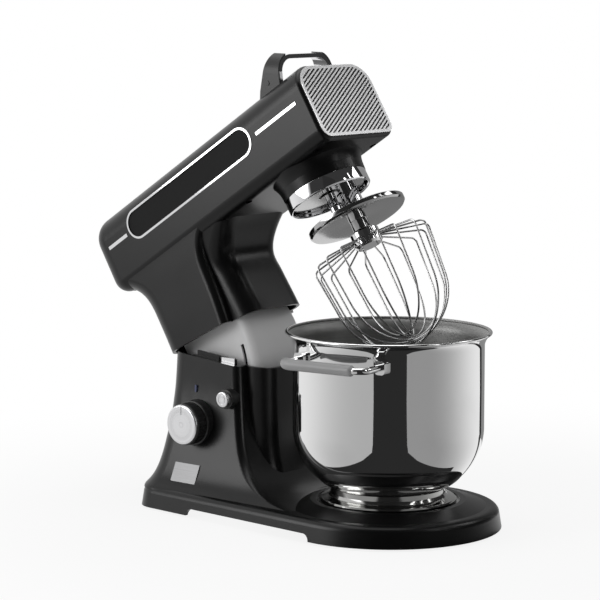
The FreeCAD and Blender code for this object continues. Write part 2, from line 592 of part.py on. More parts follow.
def screw(head_r, head_h, shank_r, length):
    """Pan-head screw with a cross recess, head below, shank upward from z = 0."""
    head = fillet(cyl(head_r, -head_h, 0), head_h * SCREW_ROUND, lambda e: e.BoundBox.ZMax < NEAR - head_h)
    body = fuse([head, cyl(shank_r, 0, length)])
    arm = head_r * RECESS_SHARE
    recess = block(-arm, arm, -RECESS_HALF, RECESS_HALF, -head_h - 1, -head_h / 2)
    return cut_all(body, [recess, turned(recess, 90)])


def make_bottom_screws():
    """Six screws that hold the bottom plate."""
    one = screw(**BOTTOM_SCREW)
    return Part.makeCompound([placed(one, x, y, PLATE_Z) for x, y in BOTTOM_SCREWS])


def make_seat_ring():
    """Steel bowl seat with three bayonet hooks."""
    c = CLAW
    ring = tube(SEAT_R - GAP / 2, SEAT_BORE, SEAT_Z - SEAT_T, SEAT_Z)
    lip = tube(c["lip"], c["inner"], c["lip_low"], c["top"])
    claw = tube(c["post"], c["inner"], SEAT_Z - 1, c["top"]).fuse(lip)
    wedge = Part.makeCylinder(SEAT_R, c["top"], ORIGIN, Z_AXIS, c["arc"])
    claw = turned(claw.common(wedge), -c["arc"] / 2)
    ring = fuse([ring] + pattern(claw, 3))
    holes = pattern(cyl(SEAT_HOLE_R, 0, c["top"], SEAT_SCREW_R), 3)
    holes += pattern(cyl(SEAT_SCREW["sink_r"], SEAT_Z - SEAT_SCREW["sunk"], c["top"], SEAT_SCREW_R), 3)
    return cut_all(ring, holes).removeSplitter()


def make_seat_screws():
    """Three sunk screws that hold the seat ring."""
    s = SEAT_SCREW
    under, top = SEAT_Z - s["sunk"], SEAT_Z - s["below"]
    one = fuse([cyl(s["head_r"], under, top), cyl(s["shank_r"], s["low"], under)])
    arm = s["head_r"] * RECESS_SHARE
    one = one.cut(block(-RECESS_HALF, RECESS_HALF, -arm, arm, top - s["slot"], top + 1))
    return Part.makeCompound(pattern(placed(one, SEAT_SCREW_R, 0, 0), 3))


def make_hinge_pin():
    """Steel pin across the column."""
    pin = side_cyl(PIN_R, -PIN_HALF, PIN_HALF, HINGE_X, HINGE_Z)
    return pin.makeChamfer(PIN_CHAMFER, [e for e in pin.Edges if e.BoundBox.YLength < NEAR])


def make_cord_gland():
    """Rubber bush where a mains lead would enter."""
    g = GLAND
    centre = Vector(g["x0"], g["y"], g["z"])
    body = Part.makeCylinder(g["r"], g["x1"] - g["x0"], centre, X_AXIS)
    flange = Part.makeCylinder(g["flange_r"], g["flange"], centre, X_AXIS)
    flange = fillet(flange, g["round"], lambda e: e.BoundBox.XMax < g["x0"] + NEAR)
    bore = Part.makeCylinder(g["bore"], WIDE, centre - X_AXIS * (WIDE / 2), X_AXIS)
    return fuse([body, flange]).cut(bore)


def make_control_board():
    """Motor speed board behind the dial, with its heat sink and choke."""
    b, s = BOARD, SINK
    inner = b["y"] + b["t"]
    board = block(b["x0"], b["x1"], b["y"], inner, b["z0"], b["z1"])
    board = cut_all(board, [side_cyl(b["hole_r"], b["y"] - 1, inner + 1, x, z) for x, z, reach in BOARD_POSTS])
    starts = [s["x"] + s["pitch"] * k for k in range(s["fins"])]
    fins = [block(x, x + s["fin"], inner, inner + s["height"], s["z0"], s["z1"]) for x in starts]
    base = block(starts[0], starts[-1] + s["fin"], inner, inner + s["base"], s["z0"], s["z1"])
    choke = side_cyl(CHOKE["r"], inner, inner + CHOKE["height"], CHOKE["x"], CHOKE["z"])
    return fuse([board, base, choke] + fins)


def make_dial_encoder():
    """Rotary encoder on the board, bored for the dial's spindle."""
    e, half = ENCODER, ENCODER["half"]
    face = BOARD["y"] - e["deep"]
    body = block(DIAL_X - half, DIAL_X + half, face, BOARD["y"], DIAL_Z - half, DIAL_Z + half)
    nose = side_cyl(e["nose_r"], face - e["nose"], face, DIAL_X, DIAL_Z)
    bore = side_cyl(DIAL["spindle_r"] + FIT, OUTSIDE_Y, BOARD["y"] - 1.0, DIAL_X, DIAL_Z)
    return fuse([body, nose]).cut(bore)


def make_dial_collar():
    """Black collar in the side wall around the dial's spindle."""
    c = DIAL_COLLAR
    collar = side_cyl(c["r"], c["face"], c["back"], DIAL_X, DIAL_Z)
    collar = fillet(collar, c["round"], lambda e: e.BoundBox.YMax < c["face"] + NEAR)
    collar = collar.cut(side_cyl(c["cup_r"], c["cup"], 0, DIAL_X, DIAL_Z))
    return collar.cut(side_cyl(c["bore"], OUTSIDE_Y, 0, DIAL_X, DIAL_Z))


def make_speed_dial():
    """Fluted black skirt with its spindle."""
    d = DIAL
    skirt = side_cyl(DIAL_R, d["face"], d["back"], DIAL_X, DIAL_Z)
    skirt = fillet(skirt, d["round"], lambda e: e.BoundBox.YMax < d["face"] + NEAR)
    flute = side_cyl(FLUTE["r"], d["face"] + FLUTE["end"], 0, DIAL_X + DIAL_R + FLUTE["out"], DIAL_Z)
    skirt = cut_all(skirt, pattern(flute, FLUTE["count"], Vector(DIAL_X, 0, DIAL_Z), Y_AXIS))
    spindle = side_cyl(d["spindle_r"], d["back"] - 1.0, BOARD["y"] - 2.0, DIAL_X, DIAL_Z)
    return fuse([skirt, spindle])


def make_dial_cap():
    """Domed metal face of the dial with a pointer notch."""
    c = DIAL_CAP
    face = DIAL["face"] - c["t"]
    cap = side_cyl(DIAL_R - c["edge"], face, DIAL["face"], DIAL_X, DIAL_Z)
    cap = fillet(cap, c["round"], lambda e: e.BoundBox.YMax < face + NEAR)
    half = c["notch_half"]
    notch = block(DIAL_X - half, DIAL_X + half, face - 1, face + c["notch_deep"], DIAL_Z + c["notch_in"], WIDE)
    return cap.cut(notch)


def make_button_collar():
    """Black sleeve around the release button."""
    c = BUTTON_COLLAR
    collar = side_cyl(c["r"], c["face"], BUTTON["back"], BUTTON_X, BUTTON_Z)
    collar = fillet(collar, c["round"], lambda e: e.BoundBox.YMax < c["face"] + NEAR)
    return collar.cut(side_cyl(BUTTON_R + BUTTON["slide"], OUTSIDE_Y, 0, BUTTON_X, BUTTON_Z))


def make_release_button():
    """Metal push button with a turned ring in its face."""
    b = BUTTON
    head = side_cyl(BUTTON_R, b["face"], b["back"], BUTTON_X, BUTTON_Z)
    head = fillet(head, b["round"], lambda e: e.BoundBox.YMax < b["face"] + NEAR)
    ring = side_cyl(b["ring_out"], OUTSIDE_Y, b["face"] + b["ring_deep"], BUTTON_X, BUTTON_Z)
    return head.cut(ring.cut(side_cyl(b["ring_in"], OUTSIDE_Y, 0, BUTTON_X, BUTTON_Z)))


def make_latch_bar():
    """Chromed bar that the button draws back."""
    bar = latch_block(0.0)
    return bar.makeChamfer(LATCH["chamfer"], [e for e in bar.Edges if e.BoundBox.XMin > LATCH["x1"] - NEAR])


def make_badge_plate():
    """Bare metal plate on the side."""
    return badge_block(BADGE["proud"])


def make_indicator_lens():
    """Clear light pipe above the dial."""
    return indicator_block(INDICATOR["face"], INDICATOR["back"])


# Head casing
def head_box(inset):
    """Long rounded box of the head."""
    box = block(
        HEAD_REAR + inset, HEAD_FRONT - inset, -HEAD_HALF + inset, HEAD_HALF - inset,
        HEAD_LOW + inset, HEAD_TOP - inset,
    )

    def along(edge):
        return edge.BoundBox.XLength > HEAD_HALF

    def ring(x):
        return lambda e: abs(e.BoundBox.XMin - x) < NEAR and abs(e.BoundBox.XMax - x) < NEAR

    box = fillet(box, HEAD_TOP_R - inset, lambda e: along(e) and e.BoundBox.ZMin > SPLIT_Z)
    box = fillet(box, HEAD_LOW_R - inset, lambda e: along(e) and e.BoundBox.ZMax < SPLIT_Z)
    box = fillet(box, HEAD_REAR_R - inset, ring(HEAD_REAR + inset))
    return fillet(box, HEAD_NOSE_R - inset * NOSE_R_LOSS, ring(HEAD_FRONT - inset))


def neck_body(inset):
    """Neck, flared into the head."""
    return ridged_body(NECK_SECTIONS, NECK_FRONT_SECTIONS, NECK_REAR_R, inset)


def snout_body():
    """Round turret under the nose with a concave root."""
    def at(out, up):
        return Vector(DRIVE_X + SNOUT_R + out, 0, SNOUT_Z + up)

    start, middle, end = [at(out, up) for out, up in SNOUT_FLARE]
    wire = outline(at(-SNOUT_R, 0), [
        (at(0, 0),),
        (start,),
        (middle, end),
        (Vector(end.x, 0, SNOUT_Z + SNOUT_RISE),),
        (at(-SNOUT_R, SNOUT_RISE),),
        (at(-SNOUT_R, 0),),
    ])
    return Part.Face(wire).revolve(Vector(DRIVE_X, 0, 0), Z_AXIS, 360)


def nose_prism(inset, x0, x1):
    """Prism of the nose plate's outline: round shoulders above, tighter corners below."""
    low, high = HEAD_LOW + inset, HEAD_TOP - inset
    half = HEAD_HALF - inset
    top_r, low_r = HEAD_TOP_R - inset, HEAD_LOW_R - inset
    top_dip, low_dip = top_r * HALF_BEND, low_r * HALF_BEND

    def p(y, z):
        return Vector(x0, y, z)

    wire = outline(p(-half + low_r, low), [
        (p(half - low_r, low),),
        (p(half - low_dip, low + low_dip), p(half, low + low_r)),
        (p(half, high - top_r),),
        (p(half - top_dip, high - top_dip), p(half - top_r, high)),
        (p(-half + top_r, high),),
        (p(-half + top_dip, high - top_dip), p(-half, high - top_r)),
        (p(-half, low + low_r),),
        (p(-half + low_dip, low + low_dip), p(-half + low_r, low)),
    ])
    return Part.Face(wire).extrude(Vector(x1 - x0, 0, 0))


def hinge_lugs():
    """Arms from the neck's shelf down to the hinge barrels."""
    g = LUG
    arm = at_hinge(block(-g["half"], g["half"], g["y0"], g["y1"], 0.0, g["length"]), g["lean"])
    arm = arm.cut(slab(SHELF_Z + SHELF_T - 1, WIDE))
    lug = fuse([arm, side_cyl(g["eye_r"], g["y0"], g["y1"], HINGE_X, HINGE_Z)])
    return [lug, mirror_y(lug)]


def head_casing():
    """Whole hollow casing before it is parted at the trim line."""
    outer = fuse([head_box(0.0), snout_body()] + neck_body(0.0))
    cuts = [head_box(WALL)] + neck_body(WALL)
    cuts.append(cyl(TURRET_BORE_R, SNOUT_Z - 1, HEAD_LOW + 2 * WALL, DRIVE_X))
    outside = HEAD_HALF + WALL
    pocket = stadium(PILL["x0"], PILL["x1"], PILL["z0"], PILL["z1"], HEAD_HALF - PILL["depth"], outside)
    grooves = [block(x0, x1, HEAD_HALF - TRIM_DEPTH, outside, TRIM_LOW, TRIM_HIGH) for x0, x1 in TRIM_RUNS]
    for side in [pocket] + grooves:
        cuts += [side, mirror_y(side)]
    cuts.append(nose_prism(NOSE_INSET, HEAD_FRONT - NOSE_DEPTH, HEAD_FRONT + WALL))
    return cut_all(outer, cuts)


def make_head_upper_shell(casing):
    """Top cover of the head, above the trim line."""
    upper = casing.cut(slab(0, SPLIT_Z))
    within = head_box(1.0)
    posts = [cyl(SHELL_POST_R, SPLIT_Z, HEAD_TOP - WALL, x, y).common(within) for x, y in SHELL_SCREWS]
    upper = fuse([upper] + posts)
    holes = [cyl(SHELL_TAP_R, SPLIT_Z - 1, SPLIT_Z + SHELL_TAP, x, y) for x, y in SHELL_SCREWS]
    return main_solid(cut_all(upper, holes).removeSplitter())


def make_head_lower_shell(casing):
    """Lower casting of the head with the neck, the hinge arms and the drive turret."""
    lower = casing.cut(slab(SPLIT_Z, WIDE)).cut(under_seam(SEAM_NECK))
    s = SHELF
    shelf = Part.Face(section(s["x0"], s["x1"], s["half"], s["rear_r"], s["front_r"], SHELF_Z))
    within = head_box(1.0)
    posts = [cyl(SHELL_POST_R, HEAD_LOW + 1, SPLIT_Z, x, y).common(within) for x, y in SHELL_SCREWS]
    lower = fuse([lower, shelf.extrude(Vector(0, 0, SHELF_T))] + hinge_lugs() + posts)
    cuts = [side_cyl(LUG["bush_r"] + PRESS_FIT, -HEAD_HALF, HEAD_HALF, HINGE_X, HINGE_Z)]
    for x, y in SHELL_SCREWS:
        cuts.append(cyl(SHELL_CLEAR_R, HEAD_LOW - 1, SPLIT_Z + 1, x, y))
        cuts.append(cyl(SHELL_SINK_R, HEAD_LOW - WALL, HEAD_LOW + SHELL_SINK, x, y))
    return main_solid(cut_all(lower, cuts).removeSplitter())


def make_shell_screws():
    """Six long screws that join the two halves of the head."""
    one = screw(**SHELL_SCREW)
    return Part.makeCompound([placed(one, x, y, HEAD_LOW + SHELL_SINK) for x, y in SHELL_SCREWS])


def make_hinge_bushes():
    """Bronze bushes pressed into the hinge arms."""
    bush = side_cyl(LUG["bush_r"], LUG["y0"], LUG["y1"], HINGE_X, HINGE_Z)
    return both_sides(bush.cut(side_cyl(PIN_R + FIT, 0, HEAD_HALF, HINGE_X, HINGE_Z)))


def shroud_drum(inset):
    """Drum about the hinge with rounded rims."""
    radius, half = SHROUD_R - inset, SHROUD_HALF - inset
    drum = Part.makeCylinder(radius, 2 * half, HINGE - Y_AXIS * half, Y_AXIS)
    return fillet(drum, SHROUD["corner"] - inset, lambda e: e.BoundBox.YLength < NEAR)


def make_neck_shroud():
    """Grey curved cover that fills the gap under the neck as the head tilts, slotted for the latch."""
    s = SHROUD
    drum = shroud_drum(0.0).cut(shroud_drum(SHROUD_T))
    drum = drum.cut(slab(SHELF_Z, WIDE))
    drum = drum.cut(block(-WIDE, HINGE_X + s["rear"], -WIDE, WIDE, -WIDE, WIDE))
    drum = drum.cut(hinge_half_space(180.0 + SHROUD_REACH, 0.0))
    slot_r = SHROUD_R - s["slot_out"]
    slot = Part.makeCylinder(slot_r, 4 * SHROUD_HALF, ORIGIN, Z_AXIS, s["slot_arc"])
    slot = slot.cut(Part.makeCylinder(slot_r - s["slot_w"], 4 * SHROUD_HALF))
    slot = turned(slot, 90, ORIGIN, X_AXIS).translated(Y_AXIS * (2 * SHROUD_HALF))
    return drum.cut(at_hinge(slot, SHROUD_REACH + s["slot_low"]))


def pill(inset, y0, y1):
    """Prism of the side inset's outline, drawn in by a distance."""
    return stadium(PILL["x0"] + inset, PILL["x1"] - inset, PILL["z0"] + inset, PILL["z1"] - inset, y0, y1)


def make_side_panels():
    """Pill-shaped insets on both sides of the head."""
    return both_sides(pill(PILL["ring"] + 2 * INSET_GAP, HEAD_HALF - PILL["depth"], HEAD_HALF - PILL["sunk"]))


def make_panel_rings():
    """Chrome rings around the insets."""
    low, high = HEAD_HALF - PILL["depth"], HEAD_HALF + PILL["proud"]
    ring = fillet(pill(INSET_GAP, low, high), PILL["round"], lambda e: e.BoundBox.YMin > high - NEAR)
    return both_sides(ring.cut(pill(PILL["ring"], low - 1, high + 1)))


def make_side_trim():
    """Chrome strips along the parting line, before and behind the insets."""
    low, high = HEAD_HALF - TRIM_DEPTH, HEAD_HALF + TRIM_PROUD
    strips = []
    for x0, x1 in TRIM_RUNS:
        strip = block(x0 + INSET_GAP, x1 - INSET_GAP, low, high, TRIM_LOW + INSET_GAP, TRIM_HIGH - INSET_GAP)
        strip = fillet(strip, TRIM_PROUD, lambda e: e.BoundBox.YMin > high - NEAR and e.BoundBox.XLength > 1)
        strips += [strip, mirror_y(strip)]
    return Part.makeCompound(strips)


def make_nose_plate():
    """Metal nose plate with slanting ribs inside a plain rim."""
    face = HEAD_FRONT + NOSE_PROUD
    plate = nose_prism(NOSE_INSET + 2 * INSET_GAP, HEAD_FRONT - NOSE_DEPTH, face)
    field = nose_prism(NOSE_INSET + NOSE_RIM, face - RIB_DEPTH, face + WALL)
    centre = Vector(face, 0, (HEAD_LOW + HEAD_TOP) / 2.0)
    count = math.ceil(math.hypot(HEAD_HALF, centre.z - HEAD_LOW) / RIB_PITCH)
    grooves = []
    for k in range(-count, count):
        low = k * RIB_PITCH
        groove = block(-RIB_DEPTH, WALL, -2 * HEAD_HALF, 2 * HEAD_HALF, low, low + RIB_PITCH * RIB_SHARE)
        groove = turned(groove, RIB_LEAN, ORIGIN, X_AXIS).translated(centre).common(field)
        if groove.Volume > 1.0:
            grooves.append(groove)
    return plate.cut(Part.makeCompound(grooves))


# Lift handle on the nose, a bail that leans forward
def bail_band(grow, thick):
    """U-shaped band across the head in the bail's own upright plane, grown outward."""
    def arch(inset, reach):
        width, height, r = (BAIL[name] + grow - inset for name in ("half", "rise", "bend"))
        dip, foot = r * HALF_BEND, -BAIL_SIDE["sunk"]
        wire = outline(Vector(-reach, -width, foot), [
            (Vector(-reach, -width, height - r),),
            (Vector(-reach, dip - width, height - dip), Vector(-reach, r - width, height)),
            (Vector(-reach, width - r, height),),
            (Vector(-reach, width - dip, height - dip), Vector(-reach, width, height - r)),
            (Vector(-reach, width, foot),),
            (Vector(-reach, -width, foot),),
        ])
        return Part.Face(wire).extrude(Vector(2 * reach, 0, 0))

    return arch(0.0, HEAD_HALF).cut(arch(thick, 2 * HEAD_HALF)).common(bail_side_profile())


def bail_side_profile():
    """Side view of the bail: a broad foot that narrows to the grip."""
    foot, top, s = BAIL["foot"], BAIL["top"], BAIL_SIDE
    rise = BAIL["rise"] + s["over"] + s["cover"]
    half = [(foot, -s["sunk"]), (foot - s["taper"], s["knee"]), (top, rise)]
    corners = [Vector(x, -HEAD_HALF, z) for x, z in half + [(-x, z) for x, z in reversed(half)]]
    return Part.Face(Part.makePolygon(corners + corners[:1])).extrude(Vector(0, 2 * HEAD_HALF, 0))


def lean_bail(shape):
    """Set a bail shape on the head, leaning forward."""
    return placed(turned(shape, BAIL["lean"], ORIGIN, Y_AXIS), BAIL["x"], 0, BAIL["z"])


def make_lift_handle():
    """Polished bail for lifting the head."""
    return lean_bail(bail_band(0.0, BAIL["strip"])).cut(head_box(0.0))


def make_handle_covers():
    """Black covers over the outside of the bail's legs."""
    cover = bail_band(BAIL_SIDE["cover"], BAIL_SIDE["cover"])
    inner = BAIL["half"] - BAIL_SIDE["cover_in"]
    cover = cover.cut(block(-WIDE, WIDE, -inner, inner, -WIDE, WIDE))
    return lean_bail(cover).cut(head_box(0.0))


def make_handle_plugs():
    """Small plugs over the leg screws."""
    face = BAIL["half"] + BAIL_SIDE["cover"]
    plug = side_cyl(PLUG["r"], face, face + PLUG["t"], PLUG["x"], PLUG["z"])
    return Part.makeCompound([lean_bail(plug), lean_bail(mirror_y(plug))])


# Drive inside the head
def make_drip_ring():
    """Chrome ring under the turret, with a rolled lower edge."""
    return revolved([
        (DRIP_BORE, SNOUT_Z), (DRIP_BORE, DRIP_LOW + 1.0), (DRIP_BORE + 0.8, DRIP_LOW),
        (DRIP_R - 1.4, DRIP_LOW), (DRIP_R - 0.2, DRIP_LOW + 1.4), (DRIP_R, SNOUT_Z),
    ], DRIVE_X)


def make_ring_gear():
    """Fixed internal gear in the turret."""
    low, top = RING_GEAR["low"], RING_GEAR["top"]
    spaces = gear_blank(RING_TEETH, PLANET_MODULE, RING_SPACE, -BACKLASH, low - 1, top + 1)
    return placed(cyl(TURRET_BORE_R, low, top).cut(spaces), DRIVE_X, 0, 0)


def make_gear_frame():
    """Cast frame that carries the main shaft and the layshaft."""
    f, h, rib = FRAME, FRAME_HUB, FRAME_RIB
    plate = Part.Face(section(f["x0"], f["x1"], f["half"], f["rear_r"], f["front_r"], f["low"]))
    parts = [plate.extrude(Vector(0, 0, f["t"]))]
    parts.append(cyl(h["r"], h["low"], f["top"], DRIVE_X))
    parts.append(cyl(h["lay_r"], h["lay_low"], f["top"], LAY_X))
    parts += [cyl(FRAME_LEG_R, HEAD_LOW + WALL, f["low"] + 1, x, y) for x, y in FRAME_LEGS]
    bar = block(DRIVE_X + h["r"] - 2.0, rib["x1"], -rib["half"], rib["half"], rib["low"], f["top"])
    parts += [placed(bar, 0, y, 0) for y in rib["at"]]
    frame = bored(fuse(parts), MAIN_BEARING["r"], DRIVE_X)
    return bored(frame, LAY_BUSH["r"], LAY_X).removeSplitter()


def make_drive_bearings():
    """Bearings of the main shaft, the layshaft and the motor."""
    bearings = []
    for size, shaft_r, x in ((MAIN_BEARING, MAIN_SHAFT["r"], DRIVE_X), (MOTOR_BEARING, MOTOR_SHAFT_R, MOTOR_X)):
        bearings += [tube(size["r"], shaft_r + FIT, low, low + size["height"], x) for low in size["lows"]]
    lay = tube(LAY_BUSH["r"], LAYSHAFT["r"] + FIT, LAY_BUSH["low"], LAY_BUSH["top"], LAY_X)
    return Part.makeCompound(bearings + [lay])


def make_main_shaft():
    """Main shaft, from the gear down to the stud under the carrier."""
    s = MAIN_SHAFT
    stud = cyl(s["stud_r"], s["stud_low"], s["low"] + 1, DRIVE_X)
    return fuse([cyl(s["r"], s["low"], s["top"], DRIVE_X), stud])


def make_main_gear():
    """Large gear on the main shaft, lightened by six holes."""
    h = MAIN_HUB
    gear = gear_blank(MAIN_TEETH, LAY_MODULE, FULL_TOOTH, BACKLASH, GEAR_Z, GEAR_Z + GEAR_FACE)
    gear = gear.fuse(cyl(h["r"], GEAR_Z - h["below"], GEAR_Z + GEAR_FACE + h["above"]))
    gear = cut_all(gear, pattern(cyl(h["hole_r"], 0, WIDE, h["hole_at"]), h["holes"]))
    return bored(placed(gear, DRIVE_X, 0, 0), MAIN_SHAFT["r"], DRIVE_X).removeSplitter()


def make_layshaft():
    """Slim shaft between the belt and the gears."""
    return cyl(LAYSHAFT["r"], LAYSHAFT["low"], LAYSHAFT["top"], LAY_X)


def make_lay_pinion():
    """Small gear on the layshaft, a little wider than the gear that it drives."""
    low, high = GEAR_Z - LAYSHAFT["pinion_over"], GEAR_Z + GEAR_FACE + LAYSHAFT["pinion_over"]
    pinion = gear_blank(LAY_TEETH, LAY_MODULE, FULL_TOOTH, BACKLASH, low, high, 180.0 / LAY_TEETH)
    return bored(placed(pinion, LAY_X, 0, 0), LAYSHAFT["r"], LAY_X)


def pulley(radius, bore, x):
    """Flanged belt pulley."""
    low, high = PULLEY_Z - BELT_PLAY, PULLEY_Z + BELT_W + BELT_PLAY
    bottom, top = PULLEY_Z - PULLEY_EDGE, PULLEY_Z + BELT_W + PULLEY_EDGE
    rim = radius + PULLEY_FLANGE
    body = revolved([
        (0, bottom), (rim, bottom), (rim, low - PULLEY_BEVEL), (radius, low),
        (radius, high), (rim, high + PULLEY_BEVEL), (rim, top), (0, top),
    ], x)
    return bored(body, bore, x)


def make_belt_pulley():
    """Large pulley with spoke holes."""
    hole = cyl(SPOKE_HOLE["r"], 0, WIDE, LAY_X + SPOKE_HOLE["at"])
    body = pulley(LAY_PULLEY_R, LAYSHAFT["r"], LAY_X)
    return cut_all(body, pattern(hole, SPOKE_HOLE["count"], Vector(LAY_X, 0, 0)))


def belt_loop(grow, low, high):
    """Prism of the open belt's run round both pulleys."""
    big, small = LAY_PULLEY_R + grow, MOTOR_PULLEY_R + grow
    turn = math.pi - math.acos((big - small) / (LAY_X - MOTOR_X))

    def on(x, r, angle):
        return Vector(x + r * math.cos(angle), r * math.sin(angle), low)

    wire = outline(on(LAY_X, big, -turn), [
        (on(LAY_X, big, 0), on(LAY_X, big, turn)),
        (on(MOTOR_X, small, turn),),
        (on(MOTOR_X, small, math.pi), on(MOTOR_X, small, -turn)),
        (on(LAY_X, big, -turn),),
    ])
    return Part.Face(wire).extrude(Vector(0, 0, high - low))


def make_drive_belt():
    """Flat drive belt."""
    inner = belt_loop(BELT_GAP, PULLEY_Z - 1, PULLEY_Z + BELT_W + 1)
    return belt_loop(BELT_GAP + BELT_T, PULLEY_Z, PULLEY_Z + BELT_W).cut(inner)


# Motor
def make_motor_stator():
    """Laminated field ring of the motor, flattened on two sides."""
    s = STATOR
    ring = tube(s["r"], s["bore"], s["low"], s["top"], MOTOR_X)
    return ring.common(block(-WIDE, WIDE, -s["flat"], s["flat"], 0, WIDE))


def motor_bracket(size):
    """End plate of the motor."""
    rear, front = MOTOR_X - size["rear"], MOTOR_X + size["front"]
    plate = Part.Face(section(rear, front, size["half"], size["corner"], size["corner"], size["low"]))
    boss = cyl(MOTOR_BOSS_R, size["boss"], size["low"] + MOTOR_PLATE_T, MOTOR_X)
    return [plate.extrude(Vector(0, 0, MOTOR_PLATE_T)), boss]


def make_motor_frame():
    """End brackets of the motor with their four posts."""
    p, s = MOTOR_POST, STATOR
    frame = fuse(motor_bracket(MOTOR_LOWER) + motor_bracket(MOTOR_UPPER))
    room = cyl(s["r"] + FIT, s["low"] - NEAR, s["top"] + NEAR, MOTOR_X)
    places = [(MOTOR_X + sx * p["x"], sy * p["y"]) for sx in (-1, 1) for sy in (-1, 1)]
    frame = fuse([frame] + [cyl(p["r"], p["low"], p["top"], x, y).cut(room) for x, y in places])
    return bored(frame, MOTOR_BEARING["r"], MOTOR_X)


def make_motor_rotor():
    """Armature with its commutator on the motor shaft."""
    ends = [(0, ROTOR_LOW), (MOTOR_SHAFT_R, ROTOR_LOW)], [(MOTOR_SHAFT_R, ROTOR_TOP), (0, ROTOR_TOP)]
    body = revolved(ends[0] + ROTOR_STEPS + ends[1], MOTOR_X)
    s = ROTOR_SLOT
    slot = block(MOTOR_X + s["bed"], MOTOR_X + s["out"], -s["half"], s["half"], s["low"], s["top"])
    return cut_all(body, pattern(slot, s["count"], Vector(MOTOR_X, 0, 0)))


def make_cooling_fan():
    """Radial fan on the motor shaft."""
    f, half, inset = FAN, FAN_BLADE["half"], FAN_BLADE["inset"]
    root, tip = f["hub_r"] - inset, f["r"] - inset
    hub = tube(f["hub_r"], MOTOR_SHAFT_R, f["low"], f["top"], MOTOR_X)
    plate = tube(f["r"], root, f["plate_low"], f["plate_top"], MOTOR_X)
    blade = block(MOTOR_X + root, MOTOR_X + tip, -half, half, f["low"] + 1, f["plate_low"] + 1)
    return fuse([hub, plate] + pattern(blade, FAN_BLADE["count"], Vector(MOTOR_X, 0, 0)))


def make_motor_pulley():
    """Small pulley on the motor shaft."""
    return pulley(MOTOR_PULLEY_R, MOTOR_SHAFT_R, MOTOR_X)


# Planetary carrier and beater
def make_planet_carrier():
    """Polished carrier disc with its neck."""
    disc = revolved([(0, CARRIER_TOP), (CARRIER_UNDERSIDE[0][0], CARRIER_TOP)] + CARRIER_UNDERSIDE, DRIVE_X)
    disc = fuse([disc, cyl(CARRIER_NECK_R, CARRIER_TOP - 0.5, CARRIER_NECK_TOP, DRIVE_X)])
    disc = disc.cut(cyl(MAIN_SHAFT["r"], MAIN_SHAFT["low"], WIDE, DRIVE_X))
    disc = bored(disc, MAIN_SHAFT["stud_r"], DRIVE_X)
    return disc.cut(cyl(COLLAR["neck_r"], 0, CARRIER_TOP + 1, DRIVE_X, ORBIT))


def make_carrier_nut():
    """Long round nut on the stud of the main shaft."""
    nut = cyl(NUT["r"], NUT["low"], NUT["top"], DRIVE_X)
    nut = fillet(nut, NUT["round"], lambda e: e.BoundBox.ZMax < NUT["low"] + NEAR)
    return nut.cut(cyl(MAIN_SHAFT["stud_r"], MAIN_SHAFT["stud_low"], WIDE, DRIVE_X))


def make_beater_collar():
    """Collar on the carrier around the beater shaft."""
    c = COLLAR
    top = [(0, c["top"]), (c["neck_r"], c["top"]), (c["neck_r"], CARRIER_FACE), (c["r"], CARRIER_FACE)]
    collar = revolved(top + COLLAR_EDGE + [(0, c["low"])], DRIVE_X, ORBIT)
    return bored(collar, c["bore"], DRIVE_X, ORBIT)


def make_beater_bushes():
    """Two sintered bushes inside the collar."""
    bush = tube(COLLAR["bore"], BEATER["r"] + FIT, 0, BEATER_BUSH["height"], DRIVE_X, ORBIT)
    return Part.makeCompound([placed(bush, 0, 0, low) for low in BEATER_BUSH["lows"]])


def make_planet_pinion():
    """Planet gear on the top of the beater shaft."""
    phase, low, top = 90.0 % (360.0 / PLANET_TEETH), PLANET["low"], PLANET["top"]
    pinion = gear_blank(PLANET_TEETH, PLANET_MODULE, PLANET_TOOTH, BACKLASH, low, top, phase)
    return bored(placed(pinion, DRIVE_X, ORBIT, 0), BEATER["r"], DRIVE_X, ORBIT)


def make_beater_shaft():
    """Beater shaft with the cross hole for its drive pin."""
    b = BEATER
    shaft = cyl(b["r"], b["low"], b["top"], DRIVE_X, ORBIT)
    shaft = shaft.makeChamfer(b["chamfer"], [e for e in shaft.Edges if e.BoundBox.ZMax < b["low"] + NEAR])
    return shaft.cut(drive_pin(DRIVE_PIN["length"] + 1.0))


def drive_pin(length):
    """Cross pin that turns the tool."""
    start = Vector(DRIVE_X - length / 2, ORBIT, DRIVE_PIN["z"])
    return Part.makeCylinder(DRIVE_PIN["r"], length, start, X_AXIS)


def make_drive_pin():
    """Steel cross pin through the beater shaft."""
    return drive_pin(DRIVE_PIN["length"])


# Whisk
def arm_line(angle):
    """Start and direction of a wire's arm in the hub."""
    away = Vector(math.cos(angle), math.sin(angle), 0)
    start = Vector(DRIVE_X, ORBIT, ARM_Z) + away * ARM_RHO
    along = away - Z_AXIS * ARM_DROP
    return start, along.normalize()


def make_whisk_hub():
    """Whisk hub with its socket neck and a hole for each wire."""
    c = HUB_CHAMFER
    hub = revolved([
        (0, HUB_LOW), (HUB_R - c, HUB_LOW), (HUB_R, HUB_LOW + c), (HUB_R, HUB_TOP - 2.0),
        (HUB_R - 2.0, HUB_TOP), (HUB_NECK_R + 1.0, HUB_TOP), (HUB_NECK_R, HUB_TOP + 2.0),
        (HUB_NECK_R, HUB_NECK_TOP), (0, HUB_NECK_TOP),
    ], DRIVE_X, ORBIT)
    cuts = [cyl(BEATER["r"] + FIT, BEATER["low"] - 1.0, WIDE, DRIVE_X, ORBIT)]
    cuts.append(drive_pin(DRIVE_PIN["length"] + DRIVE_PIN["play"]))
    for k in range(2 * LOOPS):
        start, along = arm_line(math.pi * k / LOOPS)
        cuts.append(Part.makeCylinder(WIRE_R, 2 * HUB_R, start, along))
    return cut_all(hub, cuts)


